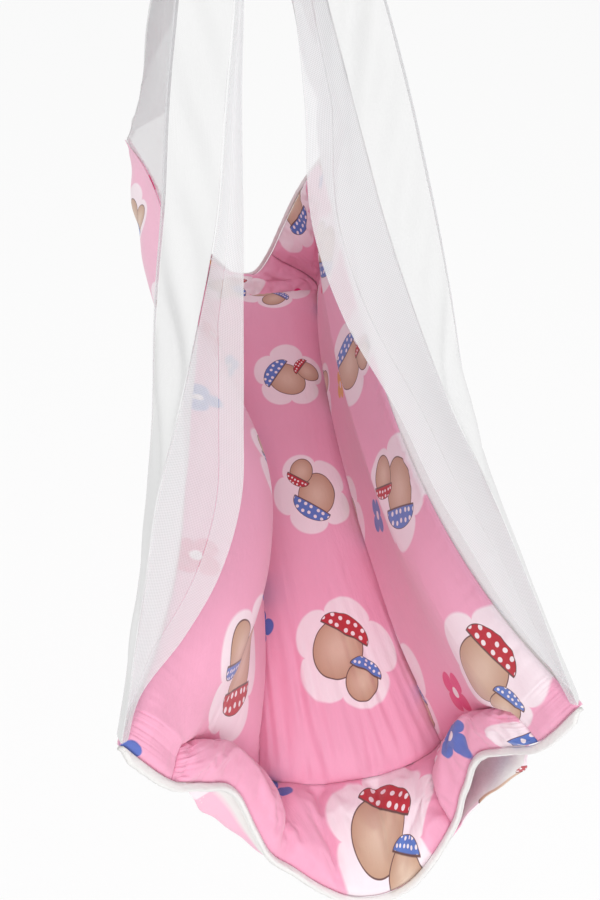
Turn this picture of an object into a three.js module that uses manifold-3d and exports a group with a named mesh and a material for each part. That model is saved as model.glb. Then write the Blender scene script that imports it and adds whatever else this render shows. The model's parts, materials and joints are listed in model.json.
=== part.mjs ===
// Hanging baby cradle: a padded cotton hammock bed under a gathered net, hung from a swivel hook.
// Millimetres. Z is up, Y runs from the near end to the far end, X to the right.
// The origin is the middle of the hanging eye.
import * as THREE from "three";
import { mergeVertices } from "three/addons/utils/BufferGeometryUtils.js";
import Module from "manifold-3d";

const wasm = await Module();
wasm.setup();

// Bed: where its cloth hangs
const cornerHalfLength = 455;
const cornerHalfWidth = 174;
const cornerSkew = 13; // the right corners hang this much nearer, the left ones this much farther
const bedDepth = 296; // hung corners down to the floor seams
const floorHalfLength = 416;
const floorHalfWidth = 107;
const floorWaist = 25; // how much narrower half the floor is at mid length
const floorSag = 8;
const floorShift = 23; // the floor hangs this far right of the corners
const lipHalfWaist = 79; // the padded walls end in a lip that leans in over the floor
const lipFlare = 86;
const lipFlarePower = 2.8;
const lipShift = 31;
const lipShiftReach = 400;
const lipShiftPower = 4;
const lipDrop = 60; // net seam down to the lip
const leftSpread = 92; // the left wall leans out this much towards the far end
const wallBelly = 18;
const netSeamHalfWaist = 115;
const netSeamFlarePower = 3.5;
const netSeamSag = 40;

// Bed: its cloth as cut
const wallCloth = 210;
const rimCloth = 75;
const flapCloth = 130;
const quiltEdge = 5;
const nearSeamBow = 24; // the seam between floor and near end bows out
const nearSeamBowPower = 3;
const nearSeamTaper = 87; // and up the walls it runs out towards the corners
const nearSeamTaperFrom = 180;
const nearSeamTaperPower = 1.2;
const floorCrown = 22;
const wallCrown = 16;
const nearRollCrown = 30;
const farRollCrown = 16;
const rimThickness = 3;
const outerClothThickness = 1.4;
const outerClothBillow = 20;
const outerClothLeastGap = 0.6;
const outerBillowReach = 85;
const bindingWidth = 8;
const bindingThickness = 9;
const bindingGap = 1;

// Net, bands and hems
const gatherHeight = 503; // hung corners up to where the band lines meet
const gatherHalf = 14; // the left and right band lines meet this far from the middle
const bandWidth = 34;
const bandThickness = 1.2;
const netThickness = 0.8;
const hemWidth = 18;
const hemThickness = 1.2;
const hemGap = 1.2;
const netGap = 2; // net edge to band edge
const flangeReach = 80;
const netFold = 5;

// Gathering sleeve and hanging loop
const sleeveHeight = 42;
const sleeveHalfX = 30;
const sleeveHalfY = 25;
const sleeveRound = 6;
const gatherInSleeve = 20; // the band lines meet this far inside the sleeve
const webbingThickness = 2;
const webbingWidth = 32;
const loopTail = 12;

// Ring, hook and swivel
const eyeRadius = 16;
const eyeWire = 4;
const socketRadius = 9;
const socketLength = 26;
const socketWall = 2.2;
const collarThickness = 4;
const shankRadius = 3;
const shankFree = 10;
const headHeight = 3;
const headPlay = 1.5;
const hookRadius = 15;
const hookWire = 3.5;
const hookFromDegrees = 50;
const hookToDegrees = -220;
const ringWire = 3;
const ringHalfWidth = 24;
const ringHeight = 42;
const ringCorner = 7;
const runningGap = 0.4; // between pieces that touch or turn on each other
const seamGap = 0.4; // between sewn pieces
const foldGap = 1.2; // between sewn pieces that meet at a sharp fold

// Shapes of the hanging cloth, from the middle line of the bed out to a net seam
const floorPlaceShares = [0, 0.56, 1];
const wallPlaceShares = [0.25, 0.62, 1];
const wallRiseShares = [0.22, 0.62, 1];
const floorEdgeRiseShare = 0.1;
const lowBellyShare = 0.8;
const spreadRiseShares = [0, 0, 0, 0.35, 0.75, 1, 0];
const spreadLengthShares = [-1, -0.4, 0, 0.36, 0.7, 1];
const spreadShares = [0, 0, 0.33, 0.92, 1, 0.56];
const stretchShares = [1, 1, 1, 0.99, 0.95, 0.91, 0.88];
const puffPower = 4;
const billowMiddleShare = 0.5;
const billowStartShare = 0.8;
const bindingRoundShare = 0.25;
const edgeClothShares = [0, 0.115, 0.273, 0.408, 0.541, 0.676, 0.809, 1];
const nearEdge = {
  acrossShares: [0, 0.247, 0.517, 0.62, 0.684, 0.776, 0.874, 1],
  outShares: [1.02, 0.95, 0.68, 0.46, 0.32, 0.35, 0.39, 0.3],
  downShares: [0.98, 0.946, 0.828, 0.693, 0.524, 0.355, 0.21, 0],
  leanShares: [0, 0, 0, 0, 0, 0, 0, 0],
};
const farEdge = {
  acrossShares: [0, 0.16, 0.33, 0.485, 0.62, 0.76, 0.875, 1],
  outShares: [0.42, 0.4, 0.36, 0.38, 0.42, 0.4, 0.37, 0.3],
  downShares: [0.975, 0.94, 0.79, 0.63, 0.5, 0.345, 0.21, 0],
  leanShares: [-0.17, -0.17, -0.17, -0.175, -0.18, -0.17, -0.125, 0],
};

// Shapes of the bands and hems, from a hung corner up to the sleeve
const bandFootShare = 0.006;
const hemMostShare = 0.6;
const netFootPower = 8;
const riseShares = [0, 0.06, 0.13, 0.2, 0.28, 0.36, 0.46, 0.55, 0.65, 0.74, 1];
const bandWidthShares = [0.25, 0.4, 0.55, 0.7, 0.85, 1, 1, 1, 1, 0.95, 0.42];
const bandTwistDegrees = [60, 68, 72, 72, 68, 55, 28, 8, 0, 0, 0];
const leftDrape = {
  bandShares: [0, 0.03, 0.05, 0.08, 0.09, 0.13, 0.16, 0.19, 0.16, 0.15, 0],
  hemShares: [0.07, 0.16, 0.5, 0.75, 0.86, 0.8, 0.7, 0.61, 0.5, 0.43, 0.19],
};
const nearRightDrape = {
  bandShares: [0, 0.05, 0.1, 0.15, 0.21, 0.26, 0.24, 0.21, 0.16, 0.13, 0],
  hemShares: [0.07, 0.18, 0.39, 0.54, 0.7, 0.8, 0.99, 0.99, 0.75, 0.58, 0.19],
};
const farRightDrape = {
  bandShares: [0, 0.04, 0.07, 0.1, 0.13, 0.16, 0.15, 0.14, 0.13, 0.11, 0],
  hemShares: [0.07, 0.17, 0.34, 0.44, 0.5, 0.5, 0.46, 0.44, 0.42, 0.38, 0.19],
};

// Counts of facets, and distances too small to see
const floorColumns = 6;
const wallColumns = 6;
const floorRows = 20;
const flapRows = 3;
const bandRows = 12;
const netFolds = 5;
const wireSides = 10;
const roundSides = 20;
const eyeSteps = 30;
const archSteps = 16;
const bendSteps = 4;
const loopSteps = 10;
const hookTurns = 12;
const hookSteps = 40;
const weldDistance = 0.0004;
const leaveStepShare = 0.02;
const normalStepShare = 0.005;

// Heights, from the eye down to the bed
const socketTop = -eyeRadius;
const socketFoot = socketTop - socketLength;
const collarTop = socketFoot - runningGap;
const collarFoot = collarTop - collarThickness;
const hookMiddle = collarFoot - shankFree - hookRadius - hookWire;
const saddle = hookMiddle - hookRadius;
const ringTop = saddle + hookWire + ringWire + runningGap;
const ringBar = ringTop - ringHeight;
const loopInner = ringWire + runningGap;
const loopOuter = loopInner + webbingThickness;
const sleeveTop = ringBar - loopOuter - loopTail - runningGap;
const sleeveFoot = sleeveTop - sleeveHeight;
const gatherZ = sleeveFoot + gatherInSleeve;
const cornerZ = gatherZ - gatherHeight;

// Cloth places: u across the bed from its middle line, v along it from its middle
const lipU = floorHalfWidth + wallCloth;
const seamU = lipU + rimCloth;
const edgeV = floorHalfLength + flapCloth;

// Colours and finishes
const cloth = (colour) => new THREE.MeshStandardMaterial({ color: colour, roughness: 0.9, metalness: 0 });
const pinkCotton = cloth(0xeb96b4);
const palePinkCotton = cloth(0xf7c4d6);
const whiteCotton = cloth(0xf6f5f3);
const whiteNet = cloth(0xf1f3f4);
const zincSteel = new THREE.MeshStandardMaterial({ color: 0xc9cccf, roughness: 0.32, metalness: 1 });

const cradle = new THREE.Group();

function add(name, geometry, material) {
  const mesh = new THREE.Mesh(geometry, material);
  mesh.name = name;
  cradle.add(mesh);
  return mesh;
}

const radians = THREE.MathUtils.degToRad;
const mix = (a, b, share) => a + (b - a) * share;
const clamp = (value) => Math.min(1, Math.max(0, value));
const evenly = (from, to, count) => Array.from({ length: count + 1 }, (_, i) => mix(from, to, i / count));

// Value at x of the smooth curve through the points (places, values)
function curveThrough(places, values, x) {
  const last = places.length - 1;
  let i = places.findIndex((place) => place > x) - 1;
  if (i < 0) i = x < places[0] ? 0 : last - 1;
  const slope = (k) => {
    const before = Math.max(k - 1, 0);
    const after = Math.min(k + 1, last);
    return (values[after] - values[before]) / (places[after] - places[before]);
  };
  const span = places[i + 1] - places[i];
  const t = (x - places[i]) / span;
  if (t < 0) return values[i] + slope(i) * (x - places[i]);
  if (t > 1) return values[i + 1] + slope(i + 1) * (x - places[i + 1]);
  const rise = values[i + 1] - values[i];
  const a = slope(i) * span - rise;
  const b = rise - slope(i + 1) * span;
  return values[i] + rise * t + t * (1 - t) * (a * (1 - t) + b * t);
}

// A half table and its mirror image: places go both ways, values keep or change their sign
const bothWays = (values, sign) => [...values.slice(1).reverse().map((value) => sign * value), ...values];

// Cross-section of the bed at a place v on the floor's length
const sectionPlaces = [
  ...floorPlaceShares.map((share) => share * floorHalfWidth),
  ...wallPlaceShares.map((share) => floorHalfWidth + share * wallCloth),
  seamU,
];
const [lipStretch, seamStretch] = stretchShares.slice(-2);

function bedSection(u, v) {
  const across = bothWays(sectionPlaces, -1);
  const read = (values, sign) => curveThrough(across, bothWays(values, sign), u);
  const along = Math.abs(v) / floorHalfLength;
  const floorHalf = floorHalfWidth - floorWaist * (1 - along ** 2);
  const floorZ = -bedDepth - floorSag * (1 - along ** 2);
  const lipReach = Math.abs(lipStretch * v);
  const lipHalf = lipHalfWaist + lipFlare * (lipReach / cornerHalfLength) ** lipFlarePower;
  const lipMiddle = lipShift * clamp(1 - (lipReach / lipShiftReach) ** lipShiftPower);
  const seamReach = Math.abs(seamStretch * v) / cornerHalfLength;
  const seamHalf = mix(netSeamHalfWaist, cornerHalfWidth, seamReach ** netSeamFlarePower);
  const seamZ = -netSeamSag * (1 - seamReach ** 2);
  const wallZ = wallRiseShares.map((share) => mix(-bedDepth, seamZ - lipDrop, share));
  const halves = [
    ...floorPlaceShares.map((share) => share * floorHalf),
    floorHalf + lowBellyShare * wallBelly,
    (floorHalf + lipHalf) / 2 + wallBelly,
    lipHalf,
    seamHalf,
  ];
  const floorMiddles = floorPlaceShares.map(() => floorShift);
  const middles = [...floorMiddles, floorShift, (floorShift + lipMiddle) / 2, lipMiddle, 0];
  const heights = [floorZ, floorZ, mix(floorZ, wallZ[0], floorEdgeRiseShare), ...wallZ, seamZ];
  const spreadShare = curveThrough(spreadLengthShares, spreadShares, v / floorHalfLength);
  const spread = u < 0 ? leftSpread * spreadShare : 0;
  const x = read(halves, -1) + read(middles, 1) - spread * read(spreadRiseShares, 1);
  const y = v * read(stretchShares, 1);
  const z = read(heights, 1);
  return new THREE.Vector3(x, skewed(x, y, z), z);
}

// The hung corners stand askew over the floor, which stays square
function skewed(x, y, z) {
  return y - cornerSkew * (x / cornerHalfWidth) * clamp(1 + z / bedDepth);
}

// Bound edge of an end flap, from corner to corner
function flapEdge(u, end) {
  const edge = end < 0 ? nearEdge : farEdge;
  const places = bothWays(edgeClothShares, -1).map((share) => share * seamU);
  const read = (shares, sign) => curveThrough(places, bothWays(shares, sign), u);
  const down = read(edge.downShares, 1);
  const x = cornerHalfWidth * (read(edge.acrossShares, -1) + read(edge.leanShares, 1)) + floorShift * down;
  const y = end * (floorHalfLength + flapCloth * read(edge.outShares, 1));
  const z = -bedDepth * down;
  return new THREE.Vector3(x, skewed(x, y, z), z);
}

// The bed's cloth: sections along the floor, then a curve out to the bound edge
function bedPoint(u, v) {
  const end = Math.sign(v);
  const drop = new THREE.Vector3(0, 0, cornerZ);
  if (Math.abs(v) <= floorHalfLength) return bedSection(u, v).add(drop);
  const step = leaveStepShare * floorHalfLength;
  const start = bedSection(u, end * floorHalfLength);
  const leave = start.clone().sub(bedSection(u, end * (floorHalfLength - step)));
  leave.multiplyScalar(flapCloth / step);
  const edge = flapEdge(u, end);
  const chord = edge.clone().sub(start);
  const s = (Math.abs(v) - floorHalfLength) / flapCloth;
  if (s > 1) return edge.addScaledVector(chord.normalize(), (s - 1) * flapCloth).add(drop);
  const bend = leave.sub(chord).multiplyScalar(s * (1 - s) ** 2);
  return start.addScaledVector(chord, s).add(bend).add(drop);
}

// Unit normal of the bed's cloth, into the bed
function bedNormal(u, v) {
  const step = normalStepShare * floorHalfLength;
  const alongU = bedPoint(u + step, v).sub(bedPoint(u - step, v));
  const alongV = bedPoint(u, v + step).sub(bedPoint(u, v - step));
  return alongU.cross(alongV).normalize();
}

const bedOffset = (u, v, rise) => bedPoint(u, v).addScaledVector(bedNormal(u, v), rise);

function bodyOf(points, faces) {
  const geometry = new THREE.BufferGeometry();
  geometry.setAttribute("position", new THREE.Float32BufferAttribute(points.flatMap((p) => p.toArray()), 3));
  geometry.setIndex(faces.flat());
  return geometry;
}

// Closed body between two grids of points: front[i][j] faces along the normal, back[i][j] against it
function slab(front, back) {
  const columns = front.length;
  const rows = front[0].length;
  const points = [...front.flat(), ...back.flat()];
  const faces = [];
  const at = (i, j, side) => side * columns * rows + i * rows + j;
  for (let i = 0; i + 1 < columns; i++) {
    for (let j = 0; j + 1 < rows; j++) {
      faces.push([at(i, j, 0), at(i + 1, j, 0), at(i + 1, j + 1, 0)]);
      faces.push([at(i, j, 0), at(i + 1, j + 1, 0), at(i, j + 1, 0)]);
      faces.push([at(i, j, 1), at(i + 1, j + 1, 1), at(i + 1, j, 1)]);
      faces.push([at(i, j, 1), at(i, j + 1, 1), at(i + 1, j + 1, 1)]);
    }
  }
  const rim = [];
  for (let i = 0; i + 1 < columns; i++) rim.push([i, 0]);
  for (let j = 0; j + 1 < rows; j++) rim.push([columns - 1, j]);
  for (let i = columns - 1; i > 0; i--) rim.push([i, rows - 1]);
  for (let j = rows - 1; j > 0; j--) rim.push([0, j]);
  rim.forEach(([i, j], k) => {
    const [m, n] = rim[(k + 1) % rim.length];
    faces.push([at(i, j, 1), at(m, n, 1), at(m, n, 0)]);
    faces.push([at(i, j, 1), at(m, n, 0), at(i, j, 0)]);
  });
  return bodyOf(points, faces);
}

// Closed body through rings of points that turn left round the way they go
function tube(rings, closed) {
  const count = rings.length;
  const sides = rings[0].length;
  const faces = [];
  const at = (i, k) => (i % count) * sides + (k % sides);
  for (let i = 0; i < (closed ? count : count - 1); i++) {
    for (let k = 0; k < sides; k++) {
      faces.push([at(i, k), at(i, k + 1), at(i + 1, k + 1)]);
      faces.push([at(i, k), at(i + 1, k + 1), at(i + 1, k)]);
    }
  }
  for (let k = 1; !closed && k + 1 < sides; k++) {
    faces.push([at(0, 0), at(0, k + 1), at(0, k)]);
    faces.push([at(count - 1, 0), at(count - 1, k), at(count - 1, k + 1)]);
  }
  return bodyOf(rings.flat(), faces);
}

// Union of closed bodies
function joined(...geometries) {
  const solids = geometries.map((geometry) => {
    const bare = geometry.clone();
    bare.deleteAttribute("normal");
    bare.deleteAttribute("uv");
    const merged = mergeVertices(bare, weldDistance);
    const vertProperties = merged.attributes.position.array;
    return new wasm.Manifold(new wasm.Mesh({ numProp: 3, vertProperties, triVerts: merged.index.array }));
  });
  const whole = solids.reduce((a, b) => a.add(b)).getMesh();
  const geometry = new THREE.BufferGeometry();
  geometry.setAttribute("position", new THREE.BufferAttribute(whole.vertProperties, 3));
  geometry.setIndex(new THREE.BufferAttribute(whole.triVerts, 1));
  return geometry;
}

// Pillow profile: 0 at both sides of a quilted patch, full soon after them
const puff = (share) => Math.sqrt(1 - (2 * share - 1) ** puffPower);

// Places along the bed where the quilt's patches end, at a place u across it
const nearEdgeLine = () => -edgeV;
const farEdgeLine = () => edgeV;
const farSeamLine = () => floorHalfLength;
function nearSeamLine(u) {
  const bow = nearSeamBow * clamp(1 - (Math.abs(u) / floorHalfWidth) ** nearSeamBowPower);
  const outwards = clamp((Math.abs(u) - nearSeamTaperFrom) / (lipU - nearSeamTaperFrom));
  return -floorHalfLength - bow - nearSeamTaper * outwards ** nearSeamTaperPower;
}

// Quilted patch of the bed between two lines across it, flat outside and crowned inside
function quilt(name, [uFrom, uTo, columns], [fromLine, toLine, rows], crown, endGap = seamGap) {
  const us = evenly(uFrom + seamGap, uTo - seamGap, columns);
  const grid = us.map((u) => evenly(fromLine(u) + endGap, toLine(u) - endGap, rows));
  const longest = Math.max(...us.map((u) => toLine(u) - fromLine(u)));
  const fullness = (u) => (toLine(u) - fromLine(u)) / longest;
  const rise = (i, j) =>
    quiltEdge + (crown - quiltEdge) * fullness(us[i]) * puff(i / columns) * puff(j / rows);
  const inside = grid.map((vs, i) => vs.map((v, j) => bedOffset(us[i], v, rise(i, j))));
  const outside = grid.map((vs, i) => vs.map((v) => bedPoint(us[i], v)));
  add(name, slab(inside, outside), pinkCotton);
}

// Floor, walls and the puffed ends
quilt(
  "floor_pad",
  [-floorHalfWidth, floorHalfWidth, floorColumns],
  [nearSeamLine, farSeamLine, floorRows],
  floorCrown,
);
for (const [end, endName] of [[-1, "near"], [1, "far"]]) {
  const flap = end < 0 ? [nearEdgeLine, nearSeamLine, flapRows] : [farSeamLine, farEdgeLine, flapRows];
  const rollCrown = end < 0 ? nearRollCrown : farRollCrown;
  const padReach = floorHalfWidth - foldGap;
  quilt(`${endName}_end_pad`, [-padReach, padReach, floorColumns], flap, rollCrown);
  const rollGap = end < 0 ? foldGap : seamGap;
  quilt(`${endName}_left_roll`, [-lipU, -floorHalfWidth, wallColumns], flap, rollCrown, rollGap);
  quilt(`${endName}_right_roll`, [floorHalfWidth, lipU, wallColumns], flap, rollCrown, rollGap);
}
const wallLength = [nearSeamLine, farSeamLine, floorRows];
quilt("left_wall_pad", [-lipU, -floorHalfWidth, wallColumns], wallLength, wallCrown, seamGap);
quilt("right_wall_pad", [floorHalfWidth, lipU, wallColumns], wallLength, wallCrown, seamGap);

// Places along the bed that every long piece shares, at a place u across it, and places across the bed
const stationsAt = (u) => [
  ...evenly(nearEdgeLine(u), nearSeamLine(u), flapRows),
  ...evenly(nearSeamLine(u), farSeamLine(u), floorRows).slice(1, -1),
  ...evenly(farSeamLine(u), farEdgeLine(u), flapRows),
];
const acrossStations = [
  -seamU,
  ...evenly(-lipU, -floorHalfWidth, wallColumns),
  ...evenly(-floorHalfWidth, floorHalfWidth, floorColumns).slice(1, -1),
  ...evenly(floorHalfWidth, lipU, wallColumns),
  seamU,
];

// Plain double cloth above each wall, up to the net seam
for (const [side, sideName] of [[-1, "left"], [1, "right"]]) {
  const us = side < 0 ? [-seamU, -lipU - seamGap] : [lipU + seamGap, seamU];
  const inside = us.map((u) => stationsAt(u).map((v) => bedOffset(u, v, rimThickness)));
  const outside = us.map((u) => stationsAt(u).map((v) => bedPoint(u, v)));
  add(`${sideName}_rim`, slab(inside, outside), pinkCotton);
}

// Outer cloth: follows the quilt outside, and hangs loose round the ends
function outerClothGap(u, v) {
  const round = Math.exp(-(((Math.abs(u) - billowMiddleShare * seamU) / outerBillowReach) ** 2));
  const billowStart = billowStartShare * floorHalfLength;
  const toEnd = clamp((Math.abs(v) - billowStart) / (edgeV - billowStart));
  return outerClothLeastGap + outerClothBillow * round * toEnd ** 2;
}
{
  const face = (depth) =>
    acrossStations.map((u) => stationsAt(u).map((v) => bedOffset(u, v, -outerClothGap(u, v) - depth)));
  add("outer_cloth", slab(face(0), face(outerClothThickness)), palePinkCotton);
}

// White binding round the edge of an end flap
for (const [end, endName] of [[-1, "near"], [1, "far"]]) {
  const from = edgeV + bindingGap;
  const high = bindingThickness - quiltEdge;
  const corner = bindingRoundShare * bindingWidth;
  const outline = [
    [0, -high + corner],
    [0, quiltEdge],
    [corner, quiltEdge + corner],
    [bindingWidth - corner, quiltEdge + corner],
    [bindingWidth, quiltEdge],
    [bindingWidth, -high + corner],
    [bindingWidth - corner, -high],
    [corner, -high],
  ];
  const ring = (u) => outline.map(([out, rise]) => {
    const normal = bedNormal(u, end * edgeV);
    return bedPoint(u, end * (from + out)).addScaledVector(normal, rise);
  });
  const us = end < 0 ? acrossStations : [...acrossStations].reverse();
  add(`${endName}_binding`, tube(us.map(ring), false), whiteCotton);
}

// Bands and net flanges: one frame of directions for each hung corner
function cornerFrame(side, end) {
  const corner = bedPoint(side * seamU, end * edgeV);
  const other = bedPoint(-side * seamU, end * edgeV);
  const top = new THREE.Vector3(side * gatherHalf, 0, gatherZ);
  const way = top.clone().sub(corner);
  const length = way.length();
  way.normalize();
  const inward = other.sub(corner);
  inward.addScaledVector(way, -inward.dot(way)).normalize();
  const inside = new THREE.Vector3().crossVectors(way, inward);
  if (inside.y * end > 0) inside.negate();
  const rightDrape = end < 0 ? nearRightDrape : farRightDrape;
  return { corner, way, length, inward, inside, drape: side < 0 ? leftDrape : rightDrape };
}

// Point beside a band line: share of the way up, distance inward and distance into the bed
function besideLine(frame, share, inward, inside) {
  const aside = frame.inward.clone().multiplyScalar(inward).addScaledVector(frame.inside, inside);
  const level = (share * aside.z) / frame.way.z;
  return frame.corner.clone().add(aside).addScaledVector(frame.way, share * frame.length - level);
}

// Point across a band: place from -1 at its net edge to 1 at its flange edge
function bandPoint(frame, share, place, past) {
  const middle = flangeReach * curveThrough(riseShares, frame.drape.bandShares, share);
  const half = (bandWidth / 2) * curveThrough(riseShares, bandWidthShares, share);
  const twist = radians(curveThrough(riseShares, bandTwistDegrees, share));
  const out = half * place + past;
  return besideLine(frame, share, middle + out * Math.cos(twist), -out * Math.sin(twist));
}

// Point across a flange: place 0 beside the band, 1 on the free edge of its hem
function flangePoint(frame, share, place) {
  const start = bandPoint(frame, share, 1, foldGap);
  const reach = flangeReach * curveThrough(riseShares, frame.drape.hemShares, share);
  const finish = besideLine(frame, share, reach, 0);
  const fold = netFold * Math.sin(Math.PI * place) * Math.sin(Math.PI * share);
  return start.lerp(finish, place).addScaledVector(frame.inside, fold);
}

// Thin body on a grid of surface points, half its thickness to each side
function sheet(grid, thickness) {
  const columns = grid.length - 1;
  const rows = grid[0].length - 1;
  const normals = grid.map((column, i) => column.map((_, j) => {
    const alongI = grid[Math.min(i + 1, columns)][j].clone().sub(grid[Math.max(i - 1, 0)][j]);
    const alongJ = grid[i][Math.min(j + 1, rows)].clone().sub(grid[i][Math.max(j - 1, 0)]);
    return alongI.cross(alongJ).normalize();
  }));
  const face = (rise) => grid.map((column, i) => column.map((p, j) =>
    p.clone().addScaledVector(normals[i][j], rise)));
  return slab(face(thickness / 2), face(-thickness / 2));
}

const bandHeadShare = (sleeveFoot - runningGap - bandThickness / 2 - cornerZ) / gatherHeight;
const bandShares = evenly(bandFootShare, bandHeadShare, bandRows);

for (const [side, sideName] of [[-1, "left"], [1, "right"]]) {
  for (const [end, endName] of [[-1, "near"], [1, "far"]]) {
    const frame = cornerFrame(side, end);
    const name = `${endName}_${sideName}`;
    const hemStart = (share) => {
      const width = flangePoint(frame, share, 0).distanceTo(flangePoint(frame, share, 1));
      return 1 - Math.min(hemMostShare, hemWidth / width);
    };
    const band = evenly(-1, 1, 2).map((place) =>
      bandShares.map((share) => bandPoint(frame, share, place, 0)));
    add(`${name}_band`, sheet(band, bandThickness), whiteCotton);
    const flange = evenly(0, 1, 3).map((place) =>
      bandShares.map((share) => flangePoint(frame, share, place * hemStart(share))));
    add(`${name}_flange`, sheet(flange, netThickness), whiteNet);
    const hem = evenly(0, 1, 1).map((place) => bandShares.map((share) => {
      const point = flangePoint(frame, share, mix(hemStart(share), 1, place));
      return place ? point : point.addScaledVector(frame.inward, hemGap);
    }));
    add(`${name}_hem`, sheet(hem, hemThickness), whiteNet);
  }
}

// Side net: from the rim's seam up between its two bands into the sleeve
for (const [side, sideName] of [[-1, "left"], [1, "right"]]) {
  const near = cornerFrame(side, -1);
  const far = cornerFrame(side, 1);
  const seam = (v) => bedPoint(side * (seamU + netGap / 2), v);
  const between = (share, a) =>
    bandPoint(near, share, -1, -netGap).lerp(bandPoint(far, share, -1, -netGap), a);
  const grid = stationsAt(seamU).map((v) => bandShares.map((share, j) => {
    const a = (v + edgeV) / (2 * edgeV);
    const b = j / bandRows;
    const seamLine = seam(-edgeV).lerp(seam(edgeV), a);
    const footOffset = between(bandFootShare, a).sub(seamLine);
    const settle = 1 - (2 * a - 1) ** netFootPower;
    const bow = seam(v).sub(seamLine).addScaledVector(footOffset, -settle);
    const point = between(share, a).addScaledVector(bow, 1 - b);
    point.x += side * netFold * Math.sin(2 * Math.PI * netFolds * a) * Math.sin(Math.PI * b);
    return point;
  }));
  add(`${sideName}_net`, sheet(grid, netThickness), whiteNet);
}

// Sleeve that gathers the bands and nets
{
  const outline = new THREE.Shape();
  outline.moveTo(-sleeveHalfX + sleeveRound, -sleeveHalfY);
  outline.absarc(sleeveHalfX - sleeveRound, -sleeveHalfY + sleeveRound, sleeveRound, -Math.PI / 2, 0);
  outline.absarc(sleeveHalfX - sleeveRound, sleeveHalfY - sleeveRound, sleeveRound, 0, Math.PI / 2);
  outline.absarc(-sleeveHalfX + sleeveRound, sleeveHalfY - sleeveRound, sleeveRound, Math.PI / 2, Math.PI);
  outline.absarc(-sleeveHalfX + sleeveRound, -sleeveHalfY + sleeveRound, sleeveRound, Math.PI, 1.5 * Math.PI);
  const sleeve = new THREE.ExtrudeGeometry(outline, {
    depth: sleeveHeight,
    bevelEnabled: false,
    curveSegments: bendSteps,
  });
  add("gather_sleeve", sleeve, whiteCotton).position.z = sleeveFoot;
}

// Webbing loop round the bar of the ring, with its two plies sewn together below
{
  const tailHalf = webbingThickness + runningGap / 2;
  const turn = Math.asin(tailHalf / loopOuter);
  const outline = new THREE.Shape();
  outline.absarc(0, 0, loopOuter, -Math.PI / 2 + turn, 1.5 * Math.PI - turn);
  outline.lineTo(-tailHalf, -loopOuter - loopTail);
  outline.lineTo(tailHalf, -loopOuter - loopTail);
  outline.holes.push(new THREE.Path().absarc(0, 0, loopInner, 0, 2 * Math.PI, true));
  const loop = new THREE.ExtrudeGeometry(outline, {
    depth: webbingWidth,
    bevelEnabled: false,
    curveSegments: loopSteps,
  });
  const mesh = add("hanging_loop", loop, whiteCotton);
  mesh.rotation.x = Math.PI / 2;
  mesh.position.set(0, webbingWidth / 2, ringBar);
}

// Round wire: circle of points about a place on a flat path in the YZ plane
function wireRing(y, z, angle, radius) {
  const out = new THREE.Vector3(0, Math.cos(angle), Math.sin(angle));
  return evenly(0, 2 * Math.PI, wireSides).slice(0, -1).map((turn) =>
    new THREE.Vector3(-radius * Math.sin(turn), y, z).addScaledVector(out, radius * Math.cos(turn)));
}

// D-shaped ring: half a circle on top, straight sides, and a bar with rounded corners
{
  const archZ = ringTop - ringHalfWidth;
  const rings = [];
  for (const turn of evenly(0, Math.PI, archSteps)) {
    const y = ringHalfWidth * Math.cos(turn);
    rings.push(wireRing(y, archZ + ringHalfWidth * Math.sin(turn), turn, ringWire));
  }
  for (const [side, from] of [[-1, Math.PI], [1, 1.5 * Math.PI]]) {
    for (const turn of evenly(from, from + Math.PI / 2, bendSteps)) {
      const y = side * (ringHalfWidth - ringCorner) + ringCorner * Math.cos(turn);
      rings.push(wireRing(y, ringBar + ringCorner + ringCorner * Math.sin(turn), turn, ringWire));
    }
  }
  add("d_ring", tube(rings, true), zincSteel);
}

// Closed profile turned round the vertical axis, given from the axis out and back
function turned(profile, sides) {
  const outline = profile.map(([r, z]) => new THREE.Vector2(r, z));
  return new THREE.LatheGeometry(outline, sides).rotateX(Math.PI / 2);
}

// Hanging eye with the swivel socket under it
{
  const bore = socketRadius - socketWall;
  const eye = new THREE.TorusGeometry(eyeRadius, eyeWire, wireSides, eyeSteps).rotateX(Math.PI / 2);
  const socket = turned([
    [0, socketTop],
    [socketRadius - socketWall, socketTop],
    [socketRadius, socketTop - socketWall],
    [socketRadius, socketFoot],
    [bore, socketFoot],
    [bore, socketTop - eyeWire - socketWall],
    [0, socketTop - eyeWire - socketWall],
  ].reverse(), roundSides);
  add("swivel_eye", joined(eye, socket), zincSteel);
}

// Collar that closes the socket round the hook's shank
{
  const bore = shankRadius + runningGap;
  const collar = turned([
    [bore, collarFoot],
    [socketRadius, collarFoot],
    [socketRadius, collarTop],
    [bore, collarTop],
    [bore, collarFoot],
  ], roundSides);
  add("swivel_collar", collar, zincSteel);
}

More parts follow.
